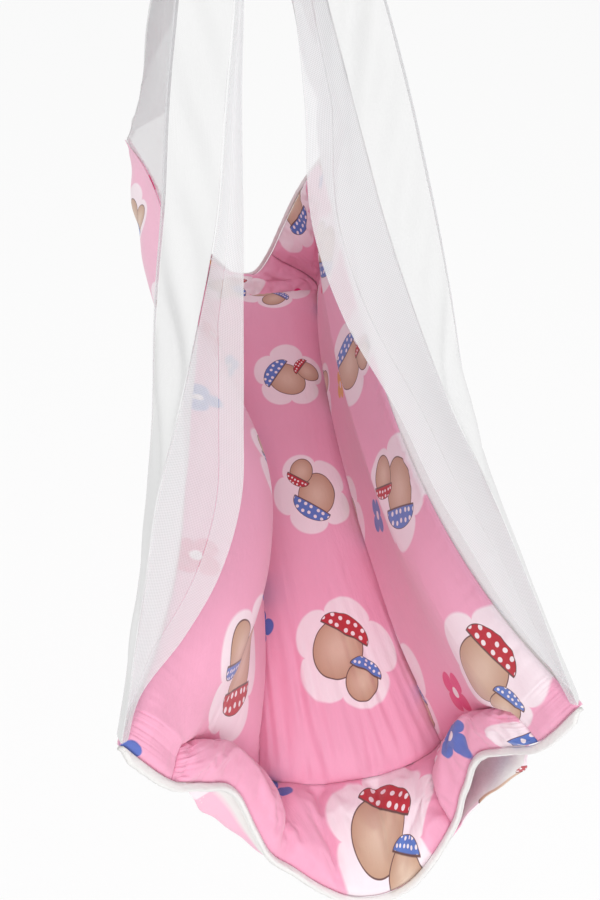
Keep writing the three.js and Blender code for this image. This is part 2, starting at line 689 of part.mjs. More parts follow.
// Hook: a head that turns in the socket, a shank, and a round bend open at one side
{
  const headRadius = socketRadius - socketWall - runningGap;
  const headFoot = collarTop + runningGap;
  const shankFoot = hookMiddle + hookRadius + hookWire;
  const head = turned([
    [0, headFoot],
    [headRadius, headFoot],
    [headRadius, headFoot + headHeight],
    [0, headFoot + headHeight],
  ], roundSides);
  const shankTop = headFoot + headPlay;
  const shank = new THREE.CylinderGeometry(shankRadius, shankRadius, shankTop - shankFoot, roundSides);
  shank.rotateX(Math.PI / 2).translate(0, 0, (shankTop + shankFoot) / 2);
  const way = [new THREE.Vector3(0, 0, shankFoot + shankRadius), new THREE.Vector3(0, 0, shankFoot)];
  for (const turn of evenly(radians(hookFromDegrees), radians(hookToDegrees), hookTurns)) {
    way.push(new THREE.Vector3(hookRadius * Math.cos(turn), 0, hookMiddle + hookRadius * Math.sin(turn)));
  }
  const section = new THREE.Shape().absarc(0, 0, hookWire, 0, 2 * Math.PI);
  const bend = new THREE.ExtrudeGeometry(section, {
    extrudePath: new THREE.CatmullRomCurve3(way, false, "centripetal"),
    steps: hookSteps,
    curveSegments: wireSides,
  });
  add("swivel_hook", joined(head, shank, bend), zincSteel);
}

export default cradle;
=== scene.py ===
import json
import math
from functools import partial
import bpy
import numpy as np
from mathutils import Matrix, Vector

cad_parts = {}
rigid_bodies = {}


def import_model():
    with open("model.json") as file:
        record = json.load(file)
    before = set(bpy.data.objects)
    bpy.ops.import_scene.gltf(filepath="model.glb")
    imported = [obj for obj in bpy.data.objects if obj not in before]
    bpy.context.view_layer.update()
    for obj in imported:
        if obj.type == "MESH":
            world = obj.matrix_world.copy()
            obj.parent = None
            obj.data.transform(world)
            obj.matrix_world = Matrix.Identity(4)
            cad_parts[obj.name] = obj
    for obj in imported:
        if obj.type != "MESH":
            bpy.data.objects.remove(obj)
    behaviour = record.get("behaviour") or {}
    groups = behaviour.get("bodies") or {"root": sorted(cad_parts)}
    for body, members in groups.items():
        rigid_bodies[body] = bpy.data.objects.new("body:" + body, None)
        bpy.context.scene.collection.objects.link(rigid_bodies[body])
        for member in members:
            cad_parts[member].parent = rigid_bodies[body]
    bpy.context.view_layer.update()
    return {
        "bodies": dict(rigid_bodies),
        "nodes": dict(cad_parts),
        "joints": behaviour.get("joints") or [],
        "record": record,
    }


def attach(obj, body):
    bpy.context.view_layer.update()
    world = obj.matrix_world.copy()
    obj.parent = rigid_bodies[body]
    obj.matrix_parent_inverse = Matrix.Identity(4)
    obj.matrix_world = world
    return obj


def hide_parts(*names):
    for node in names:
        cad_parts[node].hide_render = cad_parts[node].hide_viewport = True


# Hanging baby cradle: quilted bed, net sides, gathered bands, ring and swivel hook.
# Sizes are in millimetres, and become metres where a mesh is made.
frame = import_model()
mm = 0.001

# Camera where the photograph was taken from
view = {
    "place": (-0.058, -0.583, -0.1548), "yaw": 8.5, "pitch": 52.3, "roll": -0.4,
    "lens": 26.0, "sensor": 36, "nearest": 0.01, "farthest": 30,
}


def lookFrom(settings):
    data = bpy.data.cameras.new("photoCamera")
    data.lens, data.sensor_width, data.sensor_fit = settings["lens"], settings["sensor"], "AUTO"
    data.clip_start, data.clip_end = settings["nearest"], settings["farthest"]
    camera = bpy.data.objects.new("photoCamera", data)
    bpy.context.scene.collection.objects.link(camera)
    yaw, pitch, roll = (math.radians(settings[key]) for key in ("yaw", "pitch", "roll"))
    turn = Matrix.Rotation(-yaw, 4, "Z") @ Matrix.Rotation(math.pi / 2 - pitch, 4, "X")
    turn = turn @ Matrix.Rotation(roll, 4, "Z")
    camera.matrix_world = Matrix.Translation(settings["place"]) @ turn
    bpy.context.scene.camera = camera


lookFrom(view)
print("camera set")

# The bed's cloth, as sewn: u runs across it from its middle line, v along it from its middle.
# Tables named rise, place, across, out, down and lean are shares of the lengths that they follow
bed = {
    "cornerHalfLength": 455, "cornerHalfWidth": 174, "cornerSkew": 13, "cornerHeight": -667.8, "depth": 296,
    "floorHalfLength": 416, "floorHalfWidth": 107, "floorWaist": 25, "floorSag": 8, "floorShift": 23,
    "lipHalfWaist": 79, "lipFlare": 86, "lipFlarePower": 2.8, "lipShift": 31, "lipShiftReach": 400,
    "lipShiftPower": 4, "lipDrop": 60, "leftSpread": 92, "wallBelly": 18, "lowBelly": 0.8,
    "seamHalfWaist": 115, "seamFlarePower": 3.5, "seamSag": 40,
    "wallCloth": 210, "rimCloth": 75, "flapCloth": 130, "endStep": 0.02, "normalStep": 0.005,
    "floorPlace": (0, 0.56, 1), "floorEdgeRise": 0.1,
    "wallPlace": (0.25, 0.62, 1), "wallRise": (0.22, 0.62, 1),
    "stretch": (1, 1, 1, 0.99, 0.95, 0.91, 0.88), "spreadRise": (0, 0, 0, 0.35, 0.75, 1, 0),
    "spreadAt": (-1, -0.4, 0, 0.36, 0.7, 1), "spread": (0, 0, 0.33, 0.92, 1, 0.56),
    "edgeAt": (0, 0.115, 0.273, 0.408, 0.541, 0.676, 0.809, 1),
    "nearEdge": {
        "across": (0, 0.247, 0.517, 0.62, 0.684, 0.776, 0.874, 1),
        "out": (1.02, 0.95, 0.68, 0.46, 0.32, 0.35, 0.39, 0.3),
        "down": (0.98, 0.946, 0.828, 0.693, 0.524, 0.355, 0.21, 0),
        "lean": (0, 0, 0, 0, 0, 0, 0, 0), "leftBelly": 13, "bellyAt": -140, "bellyReach": 40,
    },
    "farEdge": {
        "across": (0, 0.16, 0.33, 0.485, 0.62, 0.76, 0.875, 1),
        "out": (0.42, 0.4, 0.36, 0.38, 0.42, 0.4, 0.37, 0.3),
        "down": (0.975, 0.94, 0.79, 0.63, 0.5, 0.345, 0.21, 0),
        "lean": (-0.17, -0.17, -0.17, -0.175, -0.18, -0.17, -0.125, 0),
        "leftBelly": 0, "bellyAt": 0, "bellyReach": 40,
    },
}
floorU = bed["floorHalfWidth"]
lipU = floorU + bed["wallCloth"]
seamU = lipU + bed["rimCloth"]
floorV = bed["floorHalfLength"]
edgeV = floorV + bed["flapCloth"]


# Smooth curve through points (places, values), read at x: cubic pieces whose slopes are those between
# neighbours, and straight on past both ends
def curveThrough(places, values, x):
    x = np.asarray(x, float)
    places = np.asarray(places, float)
    values = np.stack([np.broadcast_to(np.asarray(value, float), x.shape) for value in values])
    order = np.arange(len(places))
    after, before = np.minimum(order + 1, order[-1]), np.maximum(order - 1, 0)
    spans = (places[after] - places[before]).reshape((-1,) + (1,) * x.ndim)
    slopes = (values[after] - values[before]) / spans
    i = np.clip(np.searchsorted(places, x, side="right") - 1, 0, order[-1] - 1)
    take = lambda table, k: np.take_along_axis(table, k[None], 0)[0]
    span = places[i + 1] - places[i]
    t = (x - places[i]) / span
    start, finish = take(values, i), take(values, i + 1)
    slopeIn, slopeOut = take(slopes, i), take(slopes, i + 1)
    rise = finish - start
    bend = (slopeIn * span - rise) * (1 - t) + (rise - slopeOut * span) * t
    inside = start + rise * t + t * (1 - t) * bend
    below = start + slopeIn * (x - places[i])
    above = finish + slopeOut * (x - places[i + 1])
    return np.where(t < 0, below, np.where(t > 1, above, inside))


# Values of a table on both sides of the middle line, with their sign turned on the left where sign is -1
def bothWays(values, sign):
    return [sign * value for value in values[:0:-1]] + list(values)


def skewed(x, y, z):
    return y - bed["cornerSkew"] * (x / bed["cornerHalfWidth"]) * np.clip(1 + z / bed["depth"], 0, 1)


def points(x, y, z):
    return np.stack(np.broadcast_arrays(x, y, z), -1)


# Cross-section of the bed at v: floor, bellied wall, lip that leans in, and rim up to the net seam.
# Half widths and heights of those places change along v as powers of their distance from the middle
def bedSection(u, v):
    places = [share * floorU for share in bed["floorPlace"]]
    places += [floorU + share * bed["wallCloth"] for share in bed["wallPlace"]] + [seamU]
    across = bothWays(places, -1)
    read = lambda values, sign: curveThrough(across, bothWays(values, sign), u)
    along = np.abs(v) / floorV
    floorHalf = floorU - bed["floorWaist"] * (1 - along**2)
    floorZ = -bed["depth"] - bed["floorSag"] * (1 - along**2)
    lipStretch, seamStretch = bed["stretch"][-2:]
    lipReach = np.abs(lipStretch * v)
    lipFlare = (lipReach / bed["cornerHalfLength"]) ** bed["lipFlarePower"]
    lipHalf = bed["lipHalfWaist"] + bed["lipFlare"] * lipFlare
    lipShift = 1 - (lipReach / bed["lipShiftReach"]) ** bed["lipShiftPower"]
    lipMiddle = bed["lipShift"] * np.clip(lipShift, 0, 1)
    seamReach = np.abs(seamStretch * v) / bed["cornerHalfLength"]
    seamFlare = (bed["cornerHalfWidth"] - bed["seamHalfWaist"]) * seamReach ** bed["seamFlarePower"]
    seamHalf = bed["seamHalfWaist"] + seamFlare
    seamZ = -bed["seamSag"] * (1 - seamReach**2)
    wallZ = [-bed["depth"] + (seamZ - bed["lipDrop"] + bed["depth"]) * share for share in bed["wallRise"]]
    belly = bed["wallBelly"]
    halves = [share * floorHalf for share in bed["floorPlace"]]
    halves += [floorHalf + bed["lowBelly"] * belly, (floorHalf + lipHalf) / 2 + belly, lipHalf, seamHalf]
    shift = bed["floorShift"] + 0 * v
    middles = [shift, shift, shift, shift, (shift + lipMiddle) / 2, lipMiddle, 0 * v]
    heights = [floorZ, floorZ, floorZ + (wallZ[0] - floorZ) * bed["floorEdgeRise"], *wallZ, seamZ]
    spread = bed["leftSpread"] * curveThrough(bed["spreadAt"], bed["spread"], v / floorV) * (u < 0)
    x = read(halves, -1) + read(middles, 1) - spread * read(bed["spreadRise"], 1)
    z = read(heights, 1)
    y = v * read(bed["stretch"], 1)
    return points(x, skewed(x, y, z), z)


# Bound edge of an end flap, from corner to corner: curves through how far across, out and down it is, and
# on the near left a belly outwards, a bell curve across
def flapEdge(u, end):
    edge = bed["nearEdge"] if end < 0 else bed["farEdge"]
    places = [share * seamU for share in bothWays(bed["edgeAt"], -1)]
    read = lambda name, sign: curveThrough(places, bothWays(edge[name], sign), u)
    down = read("down", 1)
    x = bed["cornerHalfWidth"] * (read("across", -1) + read("lean", 1)) + bed["floorShift"] * down
    belly = edge["leftBelly"] * np.exp(-(((u - edge["bellyAt"]) / edge["bellyReach"]) ** 2))
    y = end * (floorV + bed["flapCloth"] * read("out", 1) + belly)
    z = -bed["depth"] * down
    return points(x, skewed(x, y, z), z)


# Point of the bed's cloth: a section within the floor's length, then a curve out to the bound edge that
# leaves along the wall's own slope, and goes straight on past the edge
def bedPoint(u, v):
    u, v = np.broadcast_arrays(np.asarray(u, float), np.asarray(v, float))
    step = bed["endStep"] * floorV
    result = bedSection(u, np.clip(v, -floorV, floorV))
    for end in (-1, 1):
        beyond = v * end > floorV
        start = bedSection(u, end * floorV + 0 * v)
        leave = (start - bedSection(u, end * (floorV - step) + 0 * v)) * (bed["flapCloth"] / step)
        chord = flapEdge(u, end) - start
        s = ((np.abs(v) - floorV) / bed["flapCloth"])[..., None]
        bend = np.where(s < 1, (leave - chord) * s * (1 - s) ** 2, 0)
        length = np.linalg.norm(chord, axis=-1, keepdims=True)
        reach = np.where(s < 1, chord * s, chord + chord / length * (s - 1) * bed["flapCloth"])
        result = np.where(beyond[..., None], start + reach + bend, result)
    return result + np.array([0, 0, bed["cornerHeight"]])


def unit(vectors):
    return vectors / np.maximum(np.linalg.norm(vectors, axis=-1, keepdims=True), 1e-9)


# Unit normal of the bed's cloth, into the bed
def bedNormal(u, v):
    step = bed["normalStep"] * floorV
    alongU = bedPoint(u + step, v) - bedPoint(u - step, v)
    alongV = bedPoint(u, v + step) - bedPoint(u, v - step)
    return unit(np.cross(alongU, alongV))


# Meshes: a body between two grids of points, and a tube through rings of points
def gridFaces(rows, columns, start, flip=False):
    i, j = np.meshgrid(np.arange(rows - 1), np.arange(columns - 1), indexing="ij")
    at = lambda a, b: start + a * columns + b
    quads = [at(i, j), at(i + 1, j), at(i + 1, j + 1), at(i, j + 1)]
    return np.stack(quads[::-1] if flip else quads, -1).reshape(-1, 4)


def makePiece(name, vertices, faces, uv=None, attributes=None):
    mesh = bpy.data.meshes.new(name)
    mesh.from_pydata((np.asarray(vertices).reshape(-1, 3) * mm).tolist(), [], faces)
    mesh.polygons.foreach_set("use_smooth", np.ones(len(mesh.polygons), bool))
    if uv is not None:
        corners = np.empty(len(mesh.loops), np.int32)
        mesh.loops.foreach_get("vertex_index", corners)
        layer = mesh.uv_layers.new(name="clothPlace")
        layer.data.foreach_set("uv", (np.asarray(uv).reshape(-1, 2)[corners] * mm).ravel())
    for key, values in (attributes or {}).items():
        attribute = mesh.attributes.new(key, "FLOAT", "POINT")
        attribute.data.foreach_set("value", np.asarray(values, np.float32).ravel())
    mesh.validate()
    mesh.update()
    piece = bpy.data.objects.new(name, mesh)
    bpy.context.scene.collection.objects.link(piece)
    return piece


# Closed body: front grid faces along the cross product of its two ways, back grid the other way.
# keep says which cells of the grid are there, and walls stand on the open edges of those.
# An attribute is given for the front and for the back
def slab(name, front, back, uv, attributes=None, keep=None):
    rows, columns = front.shape[:2]
    count = rows * columns
    keep = np.ones((rows - 1, columns - 1), bool) if keep is None else keep
    cells = keep.ravel()
    faces = [gridFaces(rows, columns, 0)[cells], gridFaces(rows, columns, count, flip=True)[cells]]
    wider = np.pad(keep, 1)
    low, right, high, left = gridFaces(rows, columns, 0).T.reshape(4, rows - 1, columns - 1)
    edges = (
        (wider[:-2, 1:-1], low, left), (wider[1:-1, 2:], left, high),
        (wider[2:, 1:-1], high, right), (wider[1:-1, :-2], right, low),
    )
    for neighbour, start, stop in edges:
        lone = keep & ~neighbour
        start, stop = start[lone], stop[lone]
        faces.append(np.stack([start, stop, stop + count, start + count], -1))
    faces = np.concatenate(faces)
    used, faces = np.unique(faces, return_inverse=True)
    vertices = np.concatenate([front.reshape(-1, 3), back.reshape(-1, 3)])[used]
    both = lambda pair: np.concatenate([np.ravel(values) for values in pair])[used]
    values = {key: both(pair) for key, pair in (attributes or {}).items()}
    places = np.concatenate([uv.reshape(-1, 2)] * 2)[used]
    return makePiece(name, vertices, faces.reshape(-1, 4).tolist(), places, values)


def tube(name, rings, closed=False, uv=None):
    count, sides = rings.shape[:2]
    i = np.arange(count if closed else count - 1)[:, None]
    k = np.arange(sides)[None]
    at = lambda a, b: (a % count) * sides + b % sides
    faces = np.stack([at(i, k), at(i, k + 1), at(i + 1, k + 1), at(i + 1, k)], -1).reshape(-1, 4).tolist()
    if not closed:
        faces += [list(range(sides))[::-1], [(count - 1) * sides + k for k in range(sides)]]
    return makePiece(name, rings, faces, uv)


def turnSteps(count):
    return np.linspace(0, 2 * np.pi, count, endpoint=False)


# A sine or cosine made squarer: its size to a power below 1, with its sign kept
def squarer(wave, power):
    return np.sign(wave) * np.abs(wave) ** power


# Unit normals of a grid of points, from the cross product of its two ways
def gridNormals(grid):
    return unit(np.cross(np.gradient(grid, axis=0), np.gradient(grid, axis=1)))


def fit(piece, material, nodes=(), body="cradle"):
    piece.data.materials.append(material)
    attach(piece, body)
    if nodes:
        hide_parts(*nodes)


# Smooth random curves and fields: the mean of a few sines with fixed phases, each longer than the last
def ripple(x, length, seed, count=5):
    phases = np.random.RandomState(seed).uniform(0, 2 * np.pi, (count, 2))
    total = 0
    for k, (phase, jitter) in enumerate(phases):
        wave = length * (0.6 + 0.22 * k) * (1 + 0.1 * np.sin(jitter))
        total = total + np.sin(2 * np.pi * x / wave + phase) / count
    return total


print("cloth shape ready")


# Materials
def hexColour(text):
    channels = [int(text[i : i + 2], 16) / 255 for i in (0, 2, 4)]
    return tuple(c / 12.92 if c < 0.04045 else ((c + 0.055) / 1.055) ** 2.4 for c in channels) + (1,)


# Node of a tree, its operation named after its kind; values and links go to its sockets in order or by name
def addNode(tree, kind, *inputs, **settings):
    kind, *operation = kind.split()
    node = tree.nodes.new("ShaderNode" + kind)
    for key, value in (*settings.items(), *(("operation", name) for name in operation)):
        setattr(node, key, value)
    named = inputs and isinstance(inputs[0], dict)
    for key, value in (inputs[0] if named else dict(enumerate(inputs))).items():
        if isinstance(value, bpy.types.Node):
            value = value.outputs[0]
        if isinstance(value, bpy.types.NodeSocket):
            tree.links.new(value, node.inputs[key])
        else:
            node.inputs[key].default_value = value
    return node


def newMaterial(name):
    material = bpy.data.materials.new(name)
    material.use_nodes = True
    material.node_tree.nodes.clear()
    return material, partial(addNode, material.node_tree)


# The print: scalloped pale patches with spotted acorns, and four-petalled blossoms between them.
# Lengths are in millimetres of cloth; an acorn's are at size 1, and its marks are shares of its radii
cottonPrint = {
    "repeat": 240, "ground": "FAB0CD", "patch": "FBEAF1", "nut": "C59C84", "nutLight": "DDBFAA",
    "line": "6A4A48", "capA": "BE2F3C", "capB": "5F7CC6", "spot": "F8EDF0",
    "patchShift": (0.5, 0.1), "patchRadius": 56, "patchLobe": 16, "patchSoft": 1.5, "lobePower": 0.6,
    "blossoms": ("E63C80", "5E73C2", "E9AE32"), "blossomMarks": (0.36, 0.68), "blossomShift": (0.0, 0.38),
    "blossomRadius": 13, "petal": 12, "petalSoft": 0.8, "blossomHeart": (6, 6),
    "acorns": (((-10, 6), 1.15, ("capA", "capB")), ((32, -20), 0.7, ("capB", "capA"))),
    "nutPlace": (0, -7), "nutRadii": (28, 34), "capPlace": (0, 13), "capRadii": (30, 20), "brim": (0, 11),
    "nutLine": (-0.045, -0.03), "capLine": (-0.04, -0.025), "rim": (0.0, 0.015),
    "dotScale": 0.1, "dotTurn": 0.25, "dotEdge": (0.27, 0.23),
}


# Repeat of a motif: half-drop cells, each with its own turn; gives the place in a cell and its number
def lattice(add, place, shift):
    size = cottonPrint["repeat"]
    moved = add("VectorMath ADD", place, (size * shift[0], size * shift[1], 0))
    cells = add("VectorMath SCALE", {0: moved, "Scale": 1 / size})
    apart = add("SeparateXYZ", cells)
    column = add("Math FLOOR", apart.outputs[0])
    dropped = add("Math MULTIPLY_ADD", column, 0.5, apart.outputs[1])
    row = add("Math FLOOR", dropped)
    rests = add("Math SUBTRACT", apart.outputs[0], column), add("Math SUBTRACT", dropped, row)
    centred = add("CombineXYZ", *(add("Math SUBTRACT", rest, 0.5) for rest in rests))
    local = add("VectorMath SCALE", {0: centred, "Scale": size})
    number = add("TexWhiteNoise", add("CombineXYZ", column, row), noise_dimensions="2D")
    turn = add("Math MULTIPLY", number.outputs[0], 2 * math.pi)
    return add("VectorRotate", {0: local, "Angle": turn}, rotation_type="Z_AXIS"), number


# Distance inside an ellipse, as a share of its radii: 1 in its middle, 0 on its rim, below 0 outside
def ellipse(add, place, centre, radii):
    moved = add("VectorMath SUBTRACT", place, (*centre, 0))
    scaled = add("VectorMath DIVIDE", moved, (*radii, 1))
    length = add("VectorMath LENGTH", scaled)
    return add("Math SUBTRACT", 1.0, length.outputs["Value"])


# Radius of a flower-like outline less the distance from its middle: lobes are a sine's size to a power
def lobed(add, place, radius, lobe, halfCount):
    apart = add("SeparateXYZ", place)
    angle = add("Math ARCTAN2", apart.outputs[1], apart.outputs[0])
    wave = add("Math SINE", add("Math MULTIPLY", angle, halfCount))
    bulge = add("Math POWER", add("Math ABSOLUTE", wave), cottonPrint["lobePower"])
    reach = add("Math MULTIPLY_ADD", bulge, lobe, radius)
    length = add("VectorMath LENGTH", place)
    return add("Math SUBTRACT", reach, length.outputs["Value"])


# Layers painted over a colour: each where all its values are above their marks, soft between the two marks
def painted(add, colour, layers):
    for over, marks in layers:
        mask = 1.0
        for value, low, high in marks:
            above = add("MapRange", value, low, high)
            mask = add("Math MULTIPLY", above, mask)
        colour = add("Mix", {0: mask, 6: colour, 7: over}, data_type="RGBA").outputs[2]
    return colour


# An acorn round centre: outlined nut, and a spotted cap over its upper part
def acornLayers(add, local, number, colours, centre, size, caps):
    at = lambda place: (centre[0] + size * place[0], centre[1] + size * place[1])
    sized = lambda pair: tuple(size * value for value in pair)
    thin = lambda pair: tuple(value / size for value in pair)
    nut = ellipse(add, local, at(cottonPrint["nutPlace"]), sized(cottonPrint["nutRadii"]))
    cap = ellipse(add, local, at(cottonPrint["capPlace"]), sized(cottonPrint["capRadii"]))
    height = add("SeparateXYZ", local).outputs[1]
    dots = {"Vector": local, "Scale": cottonPrint["dotScale"] / size, "Randomness": cottonPrint["dotTurn"]}
    dots = add("TexVoronoi", dots, voronoi_dimensions="2D").outputs["Distance"]
    nutColour = painted(add, colours["nut"], [(colours["nutLight"], [(nut, 0.0, 0.8)])])
    capLayers = [(colours[caps[1]], [(number.outputs[0], 0.5, 0.501)])]
    capLayers.append((colours["spot"], [(dots, *cottonPrint["dotEdge"])]))
    capColour = painted(add, colours[caps[0]], capLayers)
    brim = at(cottonPrint["brim"])[1]
    return [
        (colours["line"], [(nut, *thin(cottonPrint["nutLine"]))]),
        (nutColour, [(nut, *cottonPrint["rim"])]),
        (colours["line"], [(cap, *thin(cottonPrint["capLine"])), (height, brim - 1, brim)]),
        (capColour, [(cap, *cottonPrint["rim"]), (height, brim + 1, brim + 2)]),
    ]


def printColour(add, place, ground):
    colours = {key: hexColour(value) for key, value in cottonPrint.items() if isinstance(value, str)}
    first, second, third = (hexColour(text) for text in cottonPrint["blossoms"])
    local, number = lattice(add, place, cottonPrint["patchShift"])
    patch = lobed(add, local, cottonPrint["patchRadius"], cottonPrint["patchLobe"], 2.5)
    layers = [(colours["patch"], [(patch, -cottonPrint["patchSoft"], cottonPrint["patchSoft"])])]
    for acorn in cottonPrint["acorns"]:
        layers += acornLayers(add, local, number, colours, *acorn)
    spot, draw = lattice(add, place, cottonPrint["blossomShift"])
    petals = lobed(add, spot, cottonPrint["blossomRadius"], cottonPrint["petal"], 2.0)
    marks = [[(draw, mark, mark + 0.001)] for mark in cottonPrint["blossomMarks"]]
    blossom = painted(add, first, [(second, marks[0]), (third, marks[1])])
    layers += [
        (blossom, [(petals, -cottonPrint["petalSoft"], cottonPrint["petalSoft"])]),
        (colours["spot"], [(ellipse(add, spot, (0, 0), cottonPrint["blossomHeart"]), 0.0, 0.1)]),
    ]
    return painted(add, ground, layers)


# Place in the cloth's own millimetres, so that a pattern follows the cloth
def clothPlace(add):
    spots = add("UVMap", uv_map="clothPlace")
    return add("VectorMath SCALE", {0: spots, "Scale": 1 / mm})


# Cotton: a matt yarn cloth; fine creases catch the light, and a light fuzz softens its edges.
# tint is the size of its uneven dye, its detail and how far it goes; folds are width, squeeze, depth and
# strength. Threads are 0.25 mm apart, drawn at 1.6 mm so that the weave shows at all
cotton = {
    "roughness": 0.85, "sheen": 0.3,
    "thread": 1.6, "threadDepth": 0.3, "threadStrength": 0.12, "unevenness": 0.6,
    "cloths": {
        # Plain weave over wadding: soft short creases
        "quiltCottonPrint": {
            "colour": cottonPrint["ground"], "printed": True,
            "tint": (90, 2.0, 0.93), "folds": (22, 0.35, 4, 0.5),
        },
        # The same cloth in one loose layer, its ground painted paler as painted light for the studio light
        # on its outside, with longer creases and a white facing at its edge
        "outerCottonPrintPaintedLit": {
            # F9BFD6 is the quilt's pink painted paler: painted light where the outside is lit
            "colour": "F9BFD6", "printed": True, "facing": "EAE6E4",
            "tint": (90, 2.0, 0.93), "folds": (30, 0.5, 4, 0.5),
        },
        # Woven tape: off-white, with long folds along it
        "wovenTapeCotton": {"colour": "E2E2E2", "tint": (60, 3.0, 0.95), "folds": (26, 0.25, 3, 0.4)},
        # Tape cut aslant, which puckers where it is sewn round an edge
        "biasBindingCotton": {"colour": "EFEDEB", "tint": (60, 3.0, 0.95), "folds": (14, 2.5, 2, 0.6)},
    },
}


def cottonCloth(name, colour, tint, folds, printed=False, facing=None):
    material, add = newMaterial(name)
    place = clothPlace(add)
    dye = add("TexNoise", {"Vector": place, "Scale": 1 / tint[0], "Detail": tint[1]})
    deeper = tuple(c * tint[2] for c in hexColour(colour)[:3]) + (1,)
    shade = painted(add, hexColour(colour), [(deeper, [(dye, 0.0, 1.0)])])
    if printed:
        shade = printColour(add, place, shade)
    if facing:
        mask = add("Attribute", attribute_name="facing").outputs["Fac"]
        shade = painted(add, shade, [(hexColour(facing), [(mask, 0.0, 1.0)])])
    width, squeeze, depth, strength = folds
    stretched = add("Mapping", {0: place, 3: (1.0, squeeze, 1.0)})
    crease = add("TexNoise", {"Vector": stretched, "Scale": 1 / width, "Detail": 4.0, "Roughness": 0.55})
    threads = {"Vector": place, "Scale": 1 / cotton["thread"] / 2, "Distortion": cotton["unevenness"]}
    along, across = (add("TexWave", threads, bands_direction=way).outputs["Fac"] for way in "XY")
    weave = add("Math ADD", along, across)
    relief = {"Strength": cotton["threadStrength"], "Distance": cotton["threadDepth"] * mm}
    fine = add("Bump", {"Height": weave, **relief})
    bump = add("Bump", {"Height": crease, "Strength": strength, "Distance": depth * mm, "Normal": fine})
    finish = {"Roughness": cotton["roughness"], "Sheen Weight": cotton["sheen"]}
    shader = add("BsdfPrincipled", {"Base Color": shade, "Normal": bump, **finish})
    add("OutputMaterial", shader)
    return material


quiltCotton, outerCotton, tapeCotton, bindingCotton = (
    cottonCloth(name, **settings) for name, settings in cotton["cloths"].items()
)

# Knitted polyester net: thin white yarn round open meshes shows what is behind it, and the yarn glows with
# the light from its far side. Meshes are in mm; cover is how much the yarn and its holes hide
knit = {
    "mesh": 1.6, "yarn": "F3F4F5", "roughness": 0.7, "sheen": 0.2, "glow": 0.4, "holeEdge": (-0.1, 0.35),
    "cover": {"knittedNet": (0.5, 0.36), "doubledNetHem": (0.54, 0.4)},
}


def knittedNet(name, yarnCover, holeCover):
    material, add = newMaterial(name)
    yarn = hexColour(knit["yarn"])
    turned = add("VectorRotate", {0: clothPlace(add), "Angle": math.pi / 4}, rotation_type="Z_AXIS")
    ways = add("SeparateXYZ", turned).outputs[:2]
    phases = [add("Math MULTIPLY", way, 2 * math.pi / knit["mesh"]) for way in ways]
    holes = add("Math MULTIPLY", *(add("Math SINE", phase) for phase in phases))
    low, high = knit["holeEdge"]
    cover = add("MapRange", holes, low, high, yarnCover, holeCover)
    finish = {"Roughness": knit["roughness"], "Sheen Weight": knit["sheen"]}
    lit = add("BsdfPrincipled", {"Base Color": yarn, **finish})
    glow = add("BsdfTranslucent", {"Color": yarn})
    thread = add("MixShader", knit["glow"], lit, glow)
    add("OutputMaterial", add("MixShader", cover, add("BsdfTransparent"), thread))
    return material


sideNet, hemNet = (knittedNet(name, *cover) for name, cover in knit["cover"].items())

# Zinc-plated steel wire: pale, a little blue, with a soft brushed gloss and faint handling marks
zinc = {
    "light": "C9CDD2", "dark": "B4B9BF", "marks": 2.5, "detail": 5.0, "markEdge": (0.3, 0.7),
    "roughness": (0.24, 0.42), "markDepth": 0.1, "markStrength": 0.15,
}
zincSteel, add = newMaterial("zincPlatedSteel")
place = add("TexCoord").outputs["Object"]
marks = add("TexNoise", {"Vector": place, "Scale": 1 / (zinc["marks"] * mm), "Detail": zinc["detail"]})
low, high = zinc["markEdge"]
rough = add("MapRange", marks, low, high, *zinc["roughness"])
tone = painted(add, hexColour(zinc["light"]), [(hexColour(zinc["dark"]), [(marks, 0.0, 1.0)])])
bump = {"Height": marks, "Strength": zinc["markStrength"], "Distance": zinc["markDepth"] * mm}
bump = add("Bump", bump)
plated = add("BsdfPrincipled", {"Base Color": tone, "Metallic": 1.0, "Roughness": rough, "Normal": bump})
add("OutputMaterial", plated)
print("materials ready")

